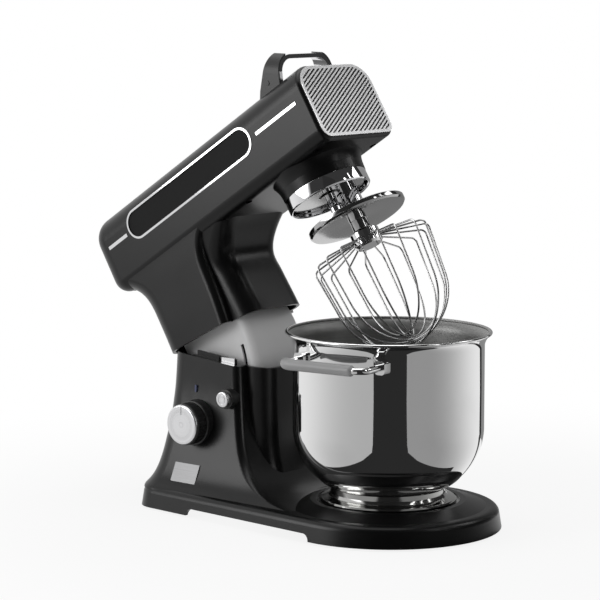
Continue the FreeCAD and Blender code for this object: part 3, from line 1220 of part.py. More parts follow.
def make_whisk_disc():
    """Shallow steel splash disc with a turned-up rim."""
    outer, inner, sheet = DISC_R, DISC_R - DISC_T, DISC_LOW + DISC_T
    return revolved([
        (HUB_NECK_R, DISC_LOW), (outer - DISC_BEVEL, DISC_LOW), (outer, DISC_LOW + DISC_BEVEL), (outer, DISC_TOP),
        (inner, DISC_TOP), (inner, sheet + DISC_T), (inner - DISC_T, sheet), (HUB_NECK_R, sheet),
    ], DRIVE_X, ORBIT)


def rounded_corner(before, corner, after, radius):
    """Ends and middle of an arc that rounds a corner."""
    back = (before - corner).normalize()
    on = (after - corner).normalize()
    half = math.acos(max(-1.0, min(1.0, back.dot(on)))) / 2.0
    reach = radius / math.tan(half)
    middle_way = (back + on).normalize()
    middle = corner + middle_way * (radius / math.sin(half) - radius)
    return corner + back * reach, middle, corner + on * reach


def whisk_loop(index):
    """One bent wire: two arms, two shoulders and a round bottom, in a plane through the whisk's axis."""
    def at(rho, z):
        return Vector(rho, 0, z)

    def flip(p):
        return Vector(-p.x, 0, p.z)

    rise = LOOP_STEP * index
    shoulder, ball = SHOULDER_RHO - LOOP_SHRINK * rise, BALL_R - LOOP_SHRINK * rise
    centre_z = WHISK_LOW + rise + ball
    arm = at(ARM_RHO, ARM_Z)
    corner = at(shoulder, ARM_Z - ARM_DROP * (shoulder - ARM_RHO))
    # Tangent point of the side on the round bottom, seen from the shoulder
    dz = corner.z - centre_z
    touch = math.atan2(dz, shoulder) - math.acos(ball / math.hypot(shoulder, dz))
    tangent = at(ball * math.cos(touch), centre_z + ball * math.sin(touch))
    enter, middle, leave = rounded_corner(arm, corner, tangent, BEND_R)
    path = Part.Wire([
        Part.LineSegment(arm, enter).toShape(),
        Part.Arc(enter, middle, leave).toShape(),
        Part.LineSegment(leave, tangent).toShape(),
        Part.Arc(tangent, at(0, centre_z - ball), flip(tangent)).toShape(),
        Part.LineSegment(flip(tangent), flip(leave)).toShape(),
        Part.Arc(flip(leave), flip(middle), flip(enter)).toShape(),
        Part.LineSegment(flip(enter), flip(arm)).toShape(),
    ])
    ring = Part.Wire([Part.Circle(arm, (enter - arm).normalize(), WIRE_R).toShape()])
    loop = path.makePipeShell([ring], True, False)
    return placed(turned(loop, 180.0 * index / LOOPS), DRIVE_X, ORBIT, 0)


def make_whisk_wires():
    """Balloon of nested wire loops."""
    return Part.makeCompound([whisk_loop(k) for k in range(LOOPS)])


# Bowl
def make_bowl_shell():
    """Pressed steel bowl with a flared, rolled rim."""
    def at(r, z):
        return Vector(r, 0, z)

    low, inner = BOWL_FLOOR_Z, BOWL_R - BOWL_T
    inner_floor = low + BOWL_T
    wire = outline(at(0, low), [
        (at(BOWL_FLOOR_R, low),),
        (at(*BOWL_KNEE), at(BOWL_R, BOWL_KNEE_TOP)),
        (at(BOWL_R, BOWL_FLARE_Z),),
        (at(RIM_R - BEAD_R, RIM_Z - BEAD_H),),
        (at(RIM_R, RIM_Z - BEAD_H / 2), at(RIM_R - BEAD_R, RIM_Z),),
        (at(RIM_R - BEAD_W, RIM_Z - BEAD_R), at(RIM_R - BEAD_W, RIM_Z - BEAD_R - 1.0)),
        (at(inner, BOWL_FLARE_Z + 0.5),),
        (at(inner, BOWL_KNEE_TOP + 0.2),),
        (at(*BOWL_KNEE_IN), at(BOWL_FLOOR_R, inner_floor)),
        (at(0, inner_floor),),
        (at(0, low),),
    ])
    return Part.Face(wire).revolve(ORIGIN, Z_AXIS, 360)


def bowl_solid():
    """Bowl filled in, for trimming what is welded on to it."""
    def at(r, z):
        return Vector(r, 0, z)

    wire = outline(at(0, BOWL_FLOOR_Z), [
        (at(BOWL_FLOOR_R, BOWL_FLOOR_Z),),
        (at(*BOWL_KNEE), at(BOWL_R, BOWL_KNEE_TOP)),
        (at(BOWL_R, BOWL_FLARE_Z),),
        (at(0, BOWL_FLARE_Z),),
        (at(0, BOWL_FLOOR_Z),),
    ])
    return Part.Face(wire).revolve(ORIGIN, Z_AXIS, 360)


def make_bowl_foot():
    """Flared foot ring with three bayonet lugs inside."""
    g = LUG_RING
    wedge = Part.makeCylinder(SEAT_R, g["top"], ORIGIN, Z_AXIS, g["arc"])
    lug = turned(tube(g["outer"], g["inner"], g["low"], g["top"]).common(wedge), -g["arc"] / 2)
    foot = fuse([revolved(BOWL_FOOT_SECTION)] + pattern(lug, 3))
    return foot.cut(bowl_solid())


def bracket_reach():
    """How far from the bowl's axis its wall lies at the handle's legs."""
    return math.sqrt(BOWL_R ** 2 - HANDLE["half"] ** 2)


def handle_path():
    """Bent rod in its own plan frame: X across, Y away from the bowl."""
    side, out, r = HANDLE["half"], HANDLE["out"], HANDLE["bend"]
    start, dip = bracket_reach() + HANDLE["weld_gap"], r * HALF_BEND

    def p(x, y):
        return Vector(x, y, BOWL_HANDLE_Z)

    return [
        Part.LineSegment(p(side, start), p(side, out - r)).toShape(),
        Part.Arc(p(side, out - r), p(side - dip, out - dip), p(side - r, out)).toShape(),
        Part.LineSegment(p(side - r, out), p(r - side, out)).toShape(),
        Part.Arc(p(r - side, out), p(dip - side, out - dip), p(-side, out - r)).toShape(),
        Part.LineSegment(p(-side, out - r), p(-side, start)).toShape(),
    ]


def on_bowl(shape):
    """Turn a handle piece from its plan frame to its place on the bowl."""
    return turned(shape, BOWL_HANDLE_TURN - 90.0)


def swept(edges, radius):
    """Round rod along a path."""
    first = edges[0]
    start = first.valueAt(first.FirstParameter)
    ring = Part.Wire([Part.Circle(start, first.tangentAt(first.FirstParameter), radius).toShape()])
    return Part.Wire(edges).makePipeShell([ring], True, False)


def make_handle_rod():
    """Bent steel rod of the bowl's handle."""
    return on_bowl(swept(handle_path(), HANDLE["rod"]))


def make_handle_grip():
    """Grey sleeve on the rod, round one bend and along the cross bar."""
    body = swept(handle_path()[1:3], HANDLE["grip"])
    return on_bowl(body.cut(swept(handle_path(), HANDLE["rod"])))


def make_handle_brackets():
    """Two pads welded to the bowl that hold the rod."""
    p, reach = PAD, bracket_reach()
    wall = cyl(BOWL_R, 0, RIM_Z)
    pads = []
    for x in (-HANDLE["half"], HANDLE["half"]):
        pad = block(x - p["half"], x + p["half"], reach - p["back"], reach + p["out"],
                    BOWL_HANDLE_Z - p["rise"], BOWL_HANDLE_Z + p["rise"])
        pad = fillet(pad, p["round"], lambda e: e.BoundBox.YLength > p["out"])
        pads.append(on_bowl(pad.cut(swept(handle_path(), HANDLE["rod"]))).cut(wall))
    return Part.makeCompound(pads)


# Writing the nodes
def head_nodes():
    """Every piece that is drawn with the head closed."""
    casing = head_casing()
    return {
        "head_upper_shell": make_head_upper_shell(casing),
        "head_lower_shell": make_head_lower_shell(casing),
        "shell_screws": make_shell_screws(),
        "hinge_bushes": make_hinge_bushes(),
        "neck_shroud": make_neck_shroud(),
        "side_panels": make_side_panels(),
        "panel_rings": make_panel_rings(),
        "side_trim": make_side_trim(),
        "nose_plate": make_nose_plate(),
        "lift_handle": make_lift_handle(),
        "handle_covers": make_handle_covers(),
        "handle_plugs": make_handle_plugs(),
        "drip_ring": make_drip_ring(),
        "ring_gear": make_ring_gear(),
        "gear_frame": make_gear_frame(),
        "drive_bearings": make_drive_bearings(),
        "drive_belt": make_drive_belt(),
        "motor_stator": make_motor_stator(),
        "motor_frame": make_motor_frame(),
        "motor_rotor": make_motor_rotor(),
        "cooling_fan": make_cooling_fan(),
        "motor_pulley": make_motor_pulley(),
        "layshaft": make_layshaft(),
        "lay_pinion": make_lay_pinion(),
        "belt_pulley": make_belt_pulley(),
        "main_shaft": make_main_shaft(),
        "main_gear": make_main_gear(),
        "planet_carrier": make_planet_carrier(),
        "carrier_nut": make_carrier_nut(),
        "beater_collar": make_beater_collar(),
        "beater_bushes": make_beater_bushes(),
        "planet_pinion": make_planet_pinion(),
        "beater_shaft": make_beater_shaft(),
        "drive_pin": make_drive_pin(),
        "whisk_hub": make_whisk_hub(),
        "whisk_disc": make_whisk_disc(),
        "whisk_wires": make_whisk_wires(),
    }


def base_nodes():
    """Every piece that stays with the base, the controls and the bowl."""
    return {
        "base_casting": make_base_casting(),
        "bottom_plate": make_bottom_plate(),
        "rubber_feet": make_rubber_feet(),
        "bottom_screws": make_bottom_screws(),
        "seat_ring": make_seat_ring(),
        "seat_screws": make_seat_screws(),
        "hinge_pin": make_hinge_pin(),
        "cord_gland": make_cord_gland(),
        "control_board": make_control_board(),
        "dial_encoder": make_dial_encoder(),
        "dial_collar": make_dial_collar(),
        "speed_dial": make_speed_dial(),
        "dial_cap": make_dial_cap(),
        "button_collar": make_button_collar(),
        "release_button": make_release_button(),
        "latch_bar": make_latch_bar(),
        "badge_plate": make_badge_plate(),
        "indicator_lens": make_indicator_lens(),
        "bowl_shell": make_bowl_shell(),
        "bowl_foot": make_bowl_foot(),
        "handle_rod": make_handle_rod(),
        "handle_grip": make_handle_grip(),
        "handle_brackets": make_handle_brackets(),
    }


def main():
    """Build every node and write it."""
    os.makedirs("parts", exist_ok=True)
    nodes = base_nodes()
    for name, shape in head_nodes().items():
        nodes[name] = opened(shape)
    for name, shape in nodes.items():
        shape.exportStep("parts/" + name + ".step")
        print(name, len(shape.Solids), shape.isValid(), round(shape.Volume))


if __name__ == "__main__":
    main()
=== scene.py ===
"""Looks of a tilt-head stand mixer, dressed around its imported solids.

Metres throughout: the bowl's axis is Z, the table is z = 0, the nose points to +X and the controls face -Y.
"""
import json
import logging
import math
from dataclasses import dataclass
from enum import Enum
from typing import Iterable, Mapping, Optional, Sequence, Union

import bpy
from mathutils import Matrix, Vector


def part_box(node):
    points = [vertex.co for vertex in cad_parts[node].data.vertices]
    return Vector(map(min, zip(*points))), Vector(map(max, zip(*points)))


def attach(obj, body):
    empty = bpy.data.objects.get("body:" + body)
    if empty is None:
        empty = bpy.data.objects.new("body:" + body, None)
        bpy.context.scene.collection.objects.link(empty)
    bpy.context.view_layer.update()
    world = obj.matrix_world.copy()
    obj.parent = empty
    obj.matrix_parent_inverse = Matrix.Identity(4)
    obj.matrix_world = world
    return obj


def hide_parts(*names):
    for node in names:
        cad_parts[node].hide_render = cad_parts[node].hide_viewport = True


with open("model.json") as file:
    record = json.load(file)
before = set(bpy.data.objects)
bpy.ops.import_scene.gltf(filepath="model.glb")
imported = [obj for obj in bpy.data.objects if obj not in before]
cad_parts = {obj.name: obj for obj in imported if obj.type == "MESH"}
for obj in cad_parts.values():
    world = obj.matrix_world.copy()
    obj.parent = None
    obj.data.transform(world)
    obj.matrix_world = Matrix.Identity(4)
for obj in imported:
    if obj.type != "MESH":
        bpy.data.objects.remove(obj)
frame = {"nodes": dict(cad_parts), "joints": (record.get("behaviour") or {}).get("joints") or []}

LOG = logging.getLogger("mixer")
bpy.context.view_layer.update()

Colour = tuple[float, float, float]
Point = tuple[float, float]
Term = Union["Signal", float, Sequence[float]]


class Signal:
    """One output of a node, with sums on it written as plain expressions."""

    def __init__(self, graph: "Graph", socket: bpy.types.NodeSocket) -> None:
        """Keep the output and the graph that it belongs to."""
        self.graph = graph
        self.socket = socket

    def _sum(self, operation: str, first: Term, second: Term) -> "Signal":
        """Add a Math node for one operation on two terms."""
        return self.graph.node("ShaderNodeMath", {"operation": operation}, {0: first, 1: second})

    def __add__(self, other: Term) -> "Signal":
        """This plus other."""
        return self._sum("ADD", self, other)

    def __radd__(self, other: Term) -> "Signal":
        """Other plus this."""
        return self._sum("ADD", other, self)

    def __sub__(self, other: Term) -> "Signal":
        """This minus other."""
        return self._sum("SUBTRACT", self, other)

    def __rsub__(self, other: Term) -> "Signal":
        """Other minus this."""
        return self._sum("SUBTRACT", other, self)

    def __mul__(self, other: Term) -> "Signal":
        """This times other."""
        return self._sum("MULTIPLY", self, other)

    def __rmul__(self, other: Term) -> "Signal":
        """Other times this."""
        return self._sum("MULTIPLY", other, self)

    def __truediv__(self, other: Term) -> "Signal":
        """This over other."""
        return self._sum("DIVIDE", self, other)

    def __rtruediv__(self, other: Term) -> "Signal":
        """Other over this."""
        return self._sum("DIVIDE", other, self)

    def __pow__(self, other: Term) -> "Signal":
        """This to a power."""
        return self._sum("POWER", self, other)

    def __rpow__(self, other: Term) -> "Signal":
        """Other to the power of this."""
        return self._sum("POWER", other, self)

    def largest(self, other: Term) -> "Signal":
        """The larger of this and other."""
        return self._sum("MAXIMUM", self, other)

    def sway(self, width: float) -> "Signal":
        """A signal from 0 to 1, set about zero and made this wide."""
        return (self - 0.5) * width

    def between(self, low: float, high: float) -> "Signal":
        """Smooth step from 0 at low to 1 at high.

        Args:
            low: value that gives 0.
            high: value that gives 1.

        Returns:
            The stepped signal.
        """
        settings = {"interpolation_type": "SMOOTHSTEP"}
        sockets = {"Value": self, "From Min": low, "From Max": high}
        return self.graph.node("ShaderNodeMapRange", settings, sockets)


class Graph:
    """The node tree of one material or of the world."""

    def __init__(self, tree: bpy.types.NodeTree) -> None:
        """Take over a tree and empty it."""
        self.tree = tree
        tree.nodes.clear()

    def node(
        self,
        kind: str,
        settings: Optional[Mapping[str, object]] = None,
        sockets: Optional[Mapping[Union[int, str], Term]] = None,
        out: Union[int, str] = 0,
    ) -> Signal:
        """Add any node: its settings are set first, then its sockets.

        Args:
            kind: the node's type.
            settings: properties of the node.
            sockets: values or signals by socket name or number.
            out: the output to hand back.

        Returns:
            The chosen output.
        """
        made = self.tree.nodes.new(kind)
        for name, value in (settings or {}).items():
            setattr(made, name, value)
        for key, value in (sockets or {}).items():
            if isinstance(value, Signal):
                self.tree.links.new(value.socket, made.inputs[key])
            else:
                made.inputs[key].default_value = value
        return Signal(self, made.outputs[out] if made.outputs else None)

    def place(self) -> Signal:
        """Coordinates that stay with the piece, in metres."""
        return self.node("ShaderNodeTexCoord", out="Object")

    def axes(self) -> tuple[Signal, Signal, Signal]:
        """The three coordinates of the piece as separate signals."""
        split = self.node("ShaderNodeSeparateXYZ", sockets={0: self.place()})
        outputs = split.socket.node.outputs
        return Signal(self, outputs[0]), Signal(self, outputs[1]), Signal(self, outputs[2])

    def vector(self, x: Term, y: Term, z: Term) -> Signal:
        """A vector from three terms."""
        return self.node("ShaderNodeCombineXYZ", sockets={0: x, 1: y, 2: z})

    def noise(self, scale: float, detail: float = 2.0, place: Optional[Signal] = None) -> Signal:
        """Cloudy noise from 0 to 1.

        Args:
            scale: how many clouds to a metre.
            detail: how many finer layers.
            place: coordinates, or None for the piece's own.

        Returns:
            The noise.
        """
        sockets = {"Vector": place or self.place(), "Scale": scale, "Detail": detail}
        return self.node("ShaderNodeTexNoise", sockets=sockets)

    def tint(self, amount: Term, dark: Colour, light: Colour) -> Signal:
        """Colour between two others.

        Args:
            amount: 0 gives dark and 1 gives light.
            dark: first colour.
            light: second colour.

        Returns:
            The mixed colour.
        """
        settings = {"data_type": "RGBA"}
        sockets = {"Factor": amount, 6: (*dark, 1.0), 7: (*light, 1.0)}
        return self.node("ShaderNodeMix", settings, sockets, out=2)

    def bump(self, height: Signal, depth: float, under: Optional[Signal] = None) -> Signal:
        """Normal of a surface with small relief.

        Args:
            height: relief from 0 to 1.
            depth: how tall the relief is, in metres.
            under: a normal that already has relief.

        Returns:
            The bent normal.
        """
        sockets: dict[str, Term] = {"Height": height, "Distance": depth, "Strength": 1.0}
        if under is not None:
            sockets["Normal"] = under
        return self.node("ShaderNodeBump", sockets=sockets)

    def surface(self, sockets: Mapping[str, Term]) -> None:
        """End the tree with a principled surface."""
        shader = self.node("ShaderNodeBsdfPrincipled", sockets=sockets)
        self.node("ShaderNodeOutputMaterial", sockets={"Surface": shader})


def shaded(colour: Colour, share: float) -> Colour:
    """The same colour, darker for a share below 1 and lighter for one above it."""
    return tuple(min(1.0, share * part) for part in colour)


@dataclass(frozen=True)
class Finish:
    """A finish that is made once and shared by name."""

    name: str

    def material(self) -> bpy.types.Material:
        """The finish as a material, made on first use."""
        label = self.name + "_finish"
        made = bpy.data.materials.get(label)
        if made is None:
            made = bpy.data.materials.new(label)
            made.use_nodes = True
            self.paint(Graph(made.node_tree))
        return made

    def paint(self, graph: Graph) -> None:
        """Write the finish into an empty node tree."""
        raise NotImplementedError


@dataclass(frozen=True)
class SatinPaint(Finish):
    """Baked satin paint on a casting: fine orange peel and a faint change of sheen."""

    colour: Colour = (0.0028, 0.0028, 0.0029)
    roughness: float = 0.30
    gloss: float = 0.28
    peel_scale: float = 520.0
    peel_depth: float = 0.000018
    grain_ratio: float = 6.0
    grain_share: float = 0.25
    grain_sheen: float = 0.05
    cloud_scale: float = 14.0
    cloud_light: float = 1.35
    cloud_sheen: float = 0.10

    def paint(self, graph: Graph) -> None:
        """Write the paint into an empty node tree."""
        cloud = graph.noise(self.cloud_scale, 3.0)
        peel = graph.noise(self.peel_scale, 1.0)
        grain = graph.noise(self.peel_scale * self.grain_ratio, 1.0)
        lighter = shaded(self.colour, self.cloud_light)
        peeled = graph.bump(peel, self.peel_depth)
        graph.surface({
            "Base Color": graph.tint(cloud.between(0.3, 0.7), self.colour, lighter),
            "Roughness": self.roughness + cloud.sway(self.cloud_sheen) + grain.sway(self.grain_sheen),
            "Specular IOR Level": self.gloss,
            "Normal": graph.bump(grain, self.peel_depth * self.grain_share, peeled),
        })


@dataclass(frozen=True)
class MouldedPlastic(Finish):
    """Moulded plastic with a spark-eroded grain."""

    colour: Colour = (0.02, 0.02, 0.02)
    roughness: float = 0.5
    grain_scale: float = 1500.0
    grain_depth: float = 0.00003
    gloss: float = 0.4
    grain_sheen: float = 0.12
    cloud_scale: float = 22.0
    cloud_light: float = 1.14
    cloud_sheen: float = 0.06

    def paint(self, graph: Graph) -> None:
        """Write the plastic into an empty node tree."""
        cloud = graph.noise(self.cloud_scale, 3.0)
        grain = graph.noise(self.grain_scale, 2.0)
        graph.surface({
            "Base Color": graph.tint(cloud, self.colour, shaded(self.colour, self.cloud_light)),
            "Roughness": self.roughness + grain.sway(self.grain_sheen) + cloud.sway(self.cloud_sheen),
            "Specular IOR Level": self.gloss,
            "Normal": graph.bump(grain, self.grain_depth),
        })


@dataclass(frozen=True)
class PolishedMetal(Finish):
    """Polished steel or chrome plate, with faint smears and hairlines."""

    colour: Colour = (0.80, 0.80, 0.81)
    roughness: float = 0.05
    smear: float = 0.05
    smear_scale: float = 16.0
    smear_shade: float = 0.93
    hair_along: float = 90.0
    hair_aside: float = 60.0
    hair_across: float = 4200.0
    hair_sheen: float = 0.03
    hair_depth: float = 0.0000012

    def paint(self, graph: Graph) -> None:
        """Write the polish into an empty node tree."""
        x, y, z = graph.axes()
        along, aside = self.hair_along, self.hair_aside
        smears = graph.noise(self.smear_scale, 4.0).between(0.45, 0.8)
        drawn = graph.vector(x * along + y * aside, y * along - x * aside, z * self.hair_across)
        hairs = graph.noise(1.0, 3.0, drawn).between(0.62, 0.80)
        graph.surface({
            "Base Color": graph.tint(smears, self.colour, shaded(self.colour, self.smear_shade)),
            "Metallic": 1.0,
            "Roughness": self.roughness + smears * self.smear + hairs * self.hair_sheen,
            "Normal": graph.bump(hairs, self.hair_depth),
        })


class Grain(Enum):
    """Which way the lines of a brushed surface run."""

    ROUND_Z = "circles about an upright axis"
    ROUND_Y = "circles about an axis across"
    ALONG_X = "lines from tail to nose"


@dataclass(frozen=True)
class BrushedMetal(Finish):
    """Metal with fine brushed lines."""

    grain: Grain = Grain.ALONG_X
    colour: Colour = (0.62, 0.62, 0.63)
    roughness: float = 0.30
    centre: tuple[float, float, float] = (0.0, 0.0, 0.0)
    line_scale: float = 2600.0
    line_depth: float = 0.000008
    line_sheen: float = 0.16
    line_shade: float = 0.78
    slow_scale: float = 6.0
    cloud_scale: float = 30.0
    cloud_sheen: float = 0.08

    def lines(self, graph: Graph) -> Signal:
        """Fine lines that run with the grain, from 0 to 1."""
        x, y, z = graph.axes()
        fine, slow = self.line_scale, self.slow_scale
        if self.grain is Grain.ROUND_Z:
            across = ((x - self.centre[0]) ** 2.0 + (y - self.centre[1]) ** 2.0) ** 0.5
            place = graph.vector(across * fine, z * fine, x * slow)
        elif self.grain is Grain.ROUND_Y:
            across = ((x - self.centre[0]) ** 2.0 + (z - self.centre[2]) ** 2.0) ** 0.5
            place = graph.vector(across * fine, y * fine, x * slow)
        else:
            place = graph.vector(x * slow * 4.0, y * fine, z * fine)
        return graph.noise(1.0, 2.0, place)

    def paint(self, graph: Graph) -> None:
        """Write the brushed metal into an empty node tree."""
        lines = self.lines(graph)
        cloud = graph.noise(self.cloud_scale, 3.0)
        darker = shaded(self.colour, self.line_shade)
        graph.surface({
            "Base Color": graph.tint(lines.between(0.25, 0.75), darker, self.colour),
            "Metallic": 1.0,
            "Roughness": self.roughness + lines.sway(self.line_sheen) + cloud.sway(self.cloud_sheen),
            "Normal": graph.bump(lines, self.line_depth),
        })


@dataclass(frozen=True)
class RibbedMetal(Finish):
    """Satin metal whose grooves are painted near black, matt and non-metallic: painted shade standing for
    the shade inside them.
    """

    outward: tuple[float, float, float] = (1.0, 0.0, 0.0)
    face: float = 0.0
    depth: float = 0.0012
    colour: Colour = (0.62, 0.62, 0.625)
    # Painted shade in the grooves: its near-black colour, how much rougher it is, and the depths (shares of
    # the groove depth) where it is full and where it has faded out.
    groove_shade: Colour = (0.012, 0.012, 0.012)
    roughness: float = 0.32
    groove_shade_rough: float = 0.2
    groove_shade_depths: tuple[float, float] = (0.75, 0.15)
    skin_scale: float = 700.0
    skin_depth: float = 0.000006
    skin_shade: float = 0.15
    skin_sheen: float = 0.12

    def paint(self, graph: Graph) -> None:
        """Write the ribbed metal into an empty node tree."""
        x, y, z = graph.axes()
        height = x * self.outward[0] + y * self.outward[1] + z * self.outward[2] - self.face
        full, clear = self.groove_shade_depths
        # Painted shade: 1 on the rib tops and 0 deep in a groove, where the colour goes near black to stand
        # for the shade in the groove.
        out_of_groove_shade = height.between(-full * self.depth, -clear * self.depth)
        skin = graph.noise(self.skin_scale, 2.0)
        metal = out_of_groove_shade * ((1.0 - self.skin_shade) + self.skin_shade * skin)
        graph.surface({
            "Base Color": graph.tint(metal, self.groove_shade, self.colour),
            "Metallic": out_of_groove_shade,
            "Roughness": self.roughness + skin.sway(self.skin_sheen) + (1.0 - out_of_groove_shade) * self.groove_shade_rough,
            "Normal": graph.bump(skin, self.skin_depth),
        })


@dataclass(frozen=True)
class CastMetal(Finish):
    """Bare cast, sintered or turned metal with a fine pitted skin."""

    colour: Colour = (0.55, 0.55, 0.56)
    roughness: float = 0.42
    pit_scale: float = 900.0
    pit_depth: float = 0.00004
    pit_shade: float = 0.72
    cloud_scale: float = 40.0
    cloud_sheen: float = 0.2

    def paint(self, graph: Graph) -> None:
        """Write the metal into an empty node tree."""
        pits = graph.noise(self.pit_scale, 3.0)
        cloud = graph.noise(self.cloud_scale, 3.0)
        darker = shaded(self.colour, self.pit_shade)
        graph.surface({
            "Base Color": graph.tint(pits.between(0.3, 0.6), darker, self.colour),
            "Metallic": 1.0,
            "Roughness": self.roughness + cloud.sway(self.cloud_sheen),
            "Normal": graph.bump(pits, self.pit_depth),
        })


@dataclass(frozen=True)
class CircuitBoard(Finish):
    """Solder-masked board with faint copper runs under the mask."""

    colour: Colour = (0.015, 0.10, 0.045)
    track: Colour = (0.03, 0.17, 0.07)
    track_scale: tuple[float, float, float] = (500.0, 10.0, 60.0)
    track_depth: float = 0.00003
    track_sheen: float = 0.08
    roughness: float = 0.35

    def paint(self, graph: Graph) -> None:
        """Write the board into an empty node tree."""
        drawn = [axis * scale for axis, scale in zip(graph.axes(), self.track_scale)]
        runs = graph.noise(1.0, 0.0, graph.vector(*drawn)).between(0.52, 0.56)
        graph.surface({
            "Base Color": graph.tint(runs, self.colour, self.track),
            "Roughness": self.roughness + runs * self.track_sheen,
            "Normal": graph.bump(runs, self.track_depth),
        })


@dataclass(frozen=True)
class LightPipe(Finish):
    """Clear pale plastic of an unlit indicator."""

    colour: Colour = (0.06, 0.07, 0.14)
    roughness: float = 0.12
    clearness: float = 0.2
    bending: float = 1.49
    cloud_scale: float = 700.0
    cloud_light: float = 1.3
    cloud_sheen: float = 0.08

    def paint(self, graph: Graph) -> None:
        """Write the light pipe into an empty node tree."""
        cloud = graph.noise(self.cloud_scale, 2.0)
        graph.surface({
            "Base Color": graph.tint(cloud, self.colour, shaded(self.colour, self.cloud_light)),
            "Roughness": self.roughness + cloud * self.cloud_sheen,
            "Transmission Weight": self.clearness,
            "IOR": self.bending,
        })


BLACK_PAINT = SatinPaint("satin_black_paint")
BLACK_PLASTIC = MouldedPlastic("matt_black_plastic", (0.012, 0.012, 0.012), 0.42)
PANEL_PLASTIC = MouldedPlastic("inset_panel_plastic", (0.003, 0.003, 0.0031), 0.55, 2100.0, 0.00003, 0.12)
GREY_PLASTIC = MouldedPlastic("grey_plastic", (0.52, 0.52, 0.522), 0.45)
GRIP_PLASTIC = MouldedPlastic("grey_grip", (0.27, 0.27, 0.272), 0.34)
NATURAL_NYLON = MouldedPlastic("natural_nylon", (0.62, 0.58, 0.46), 0.48)
BLACK_RUBBER = MouldedPlastic("black_rubber", (0.018, 0.018, 0.018), 0.78, 700.0, 0.00006)
CHROME = PolishedMetal("chrome_plate", (0.82, 0.82, 0.83), 0.035)
POLISHED_STEEL = PolishedMetal("polished_steel", (0.76, 0.76, 0.76), 0.03, 0.02)
BRIGHT_WIRE = PolishedMetal("bright_wire", (0.52, 0.52, 0.52), 0.16)
SPUN_STEEL = PolishedMetal("spun_steel", (0.43, 0.43, 0.43), 0.09)
FOOT_STEEL = PolishedMetal("foot_steel", (0.42, 0.42, 0.41), 0.10)
BOWL_INSIDE = BrushedMetal("brushed_bowl_inside", Grain.ROUND_Z, (0.36, 0.36, 0.355), 0.50)
BRIGHT_STEEL = BrushedMetal("bright_steel", Grain.ALONG_X, (0.55, 0.55, 0.56), 0.32)
PLATE_METAL = BrushedMetal("satin_plate_metal", Grain.ALONG_X, (0.30, 0.30, 0.304), 0.54)
CAST_ALUMINIUM = CastMetal("cast_aluminium", (0.56, 0.56, 0.57), 0.38)
SINTERED_BRONZE = CastMetal("sintered_bronze", (0.46, 0.30, 0.13), 0.45, 1400.0)
LAMINATED_IRON = BrushedMetal("laminated_iron", Grain.ROUND_Z, (0.30, 0.29, 0.28), 0.45)
BOARD_GREEN = CircuitBoard("board_green")
CLEAR_LENS = LightPipe("clear_lens")


def arc(start: Point, middle: Point, end: Point, count: int) -> list[Point]:
    """Points on the arc through three points.

    Args:
        start: first point.
        middle: a point on the way.
        end: last point.
        count: how many steps the arc takes.

    Returns:
        The points after start, up to and with end.
    """
    (ax, ay), (bx, by), (cx, cy) = start, middle, end
    d = 2.0 * (ax * (by - cy) + bx * (cy - ay) + cx * (ay - by))
    a2, b2, c2 = ax * ax + ay * ay, bx * bx + by * by, cx * cx + cy * cy
    ux = (a2 * (by - cy) + b2 * (cy - ay) + c2 * (ay - by)) / d
    uy = (a2 * (cx - bx) + b2 * (ax - cx) + c2 * (bx - ax)) / d
    first = math.atan2(ay - uy, ax - ux)
    turn = (math.atan2(cy - uy, cx - ux) - first) % math.tau
    via = (math.atan2(by - uy, bx - ux) - first) % math.tau
    if via > turn:
        turn -= math.tau
    radius = math.hypot(ax - ux, ay - uy)
    angles = [first + turn * k / count for k in range(1, count + 1)]
    return [(ux + radius * math.cos(angle), uy + radius * math.sin(angle)) for angle in angles]


def rounded(corners: Sequence[Point], radius: float, count: int = 4, most: float = 0.45) -> list[Point]:
    """Closed outline with every corner rounded.

    Args:
        corners: the corners in order.
        radius: the wanted rounding, held back where a side is short.
        count: steps in each rounding.
        most: the share of a side that one rounding may take.

    Returns:
        The points of the outline.
    """
    points: list[Point] = []
    for k, corner in enumerate(corners):
        here = Vector(corner)
        back = Vector(corners[k - 1]) - here
        on = Vector(corners[(k + 1) % len(corners)]) - here
        half = back.angle(on) / 2.0
        reach = min(radius / math.tan(half), most * back.length, most * on.length)
        enter, leave = here + back.normalized() * reach, here + on.normalized() * reach
        for step in range(count + 1):
            t = step / count
            point = enter * (1 - t) ** 2 + here * (2 * t * (1 - t)) + leave * t ** 2
            points.append((point.x, point.y))
    return points


def new_mesh(
    name: str, points: Iterable[Sequence[float]], faces: Iterable[Sequence[int]], sharp: float = 50.0
) -> bpy.types.Object:
    """Smooth-shaded mesh object in the scene.

    Args:
        name: the piece's name.
        points: corner points in metres.
        faces: corners of each face.
        sharp: edges that turn by more than this many degrees stay sharp.

    Returns:
        The new object.
    """
    mesh = bpy.data.meshes.new(name)
    mesh.from_pydata([tuple(p) for p in points], [], [tuple(f) for f in faces])
    mesh.validate()
    mesh.shade_smooth()
    mesh.set_sharp_from_angle(angle=math.radians(sharp))
    piece = bpy.data.objects.new(name, mesh)
    bpy.context.scene.collection.objects.link(piece)
    return piece


def lathe(name: str, outline: Sequence[Point], where: Matrix, sides: int = 160) -> bpy.types.Object:
    """Turned piece from a closed outline of (radius, height) points.

    Args:
        name: the piece's name.
        outline: the section, anticlockwise, none of it on the axis.
        where: puts the turning axis, Z, where it belongs.
        sides: steps round the axis.

    Returns:
        The new object.
    """
    points, faces = [], []
    size = len(outline)
    for k in range(sides):
        angle = math.tau * k / sides
        for radius, height in outline:
            points.append(where @ Vector((radius * math.cos(angle), radius * math.sin(angle), height)))
        ahead = (k + 1) % sides
        for i in range(size):
            j = (i + 1) % size
            faces.append((k * size + i, ahead * size + i, ahead * size + j, k * size + j))
    return new_mesh(name, points, faces)


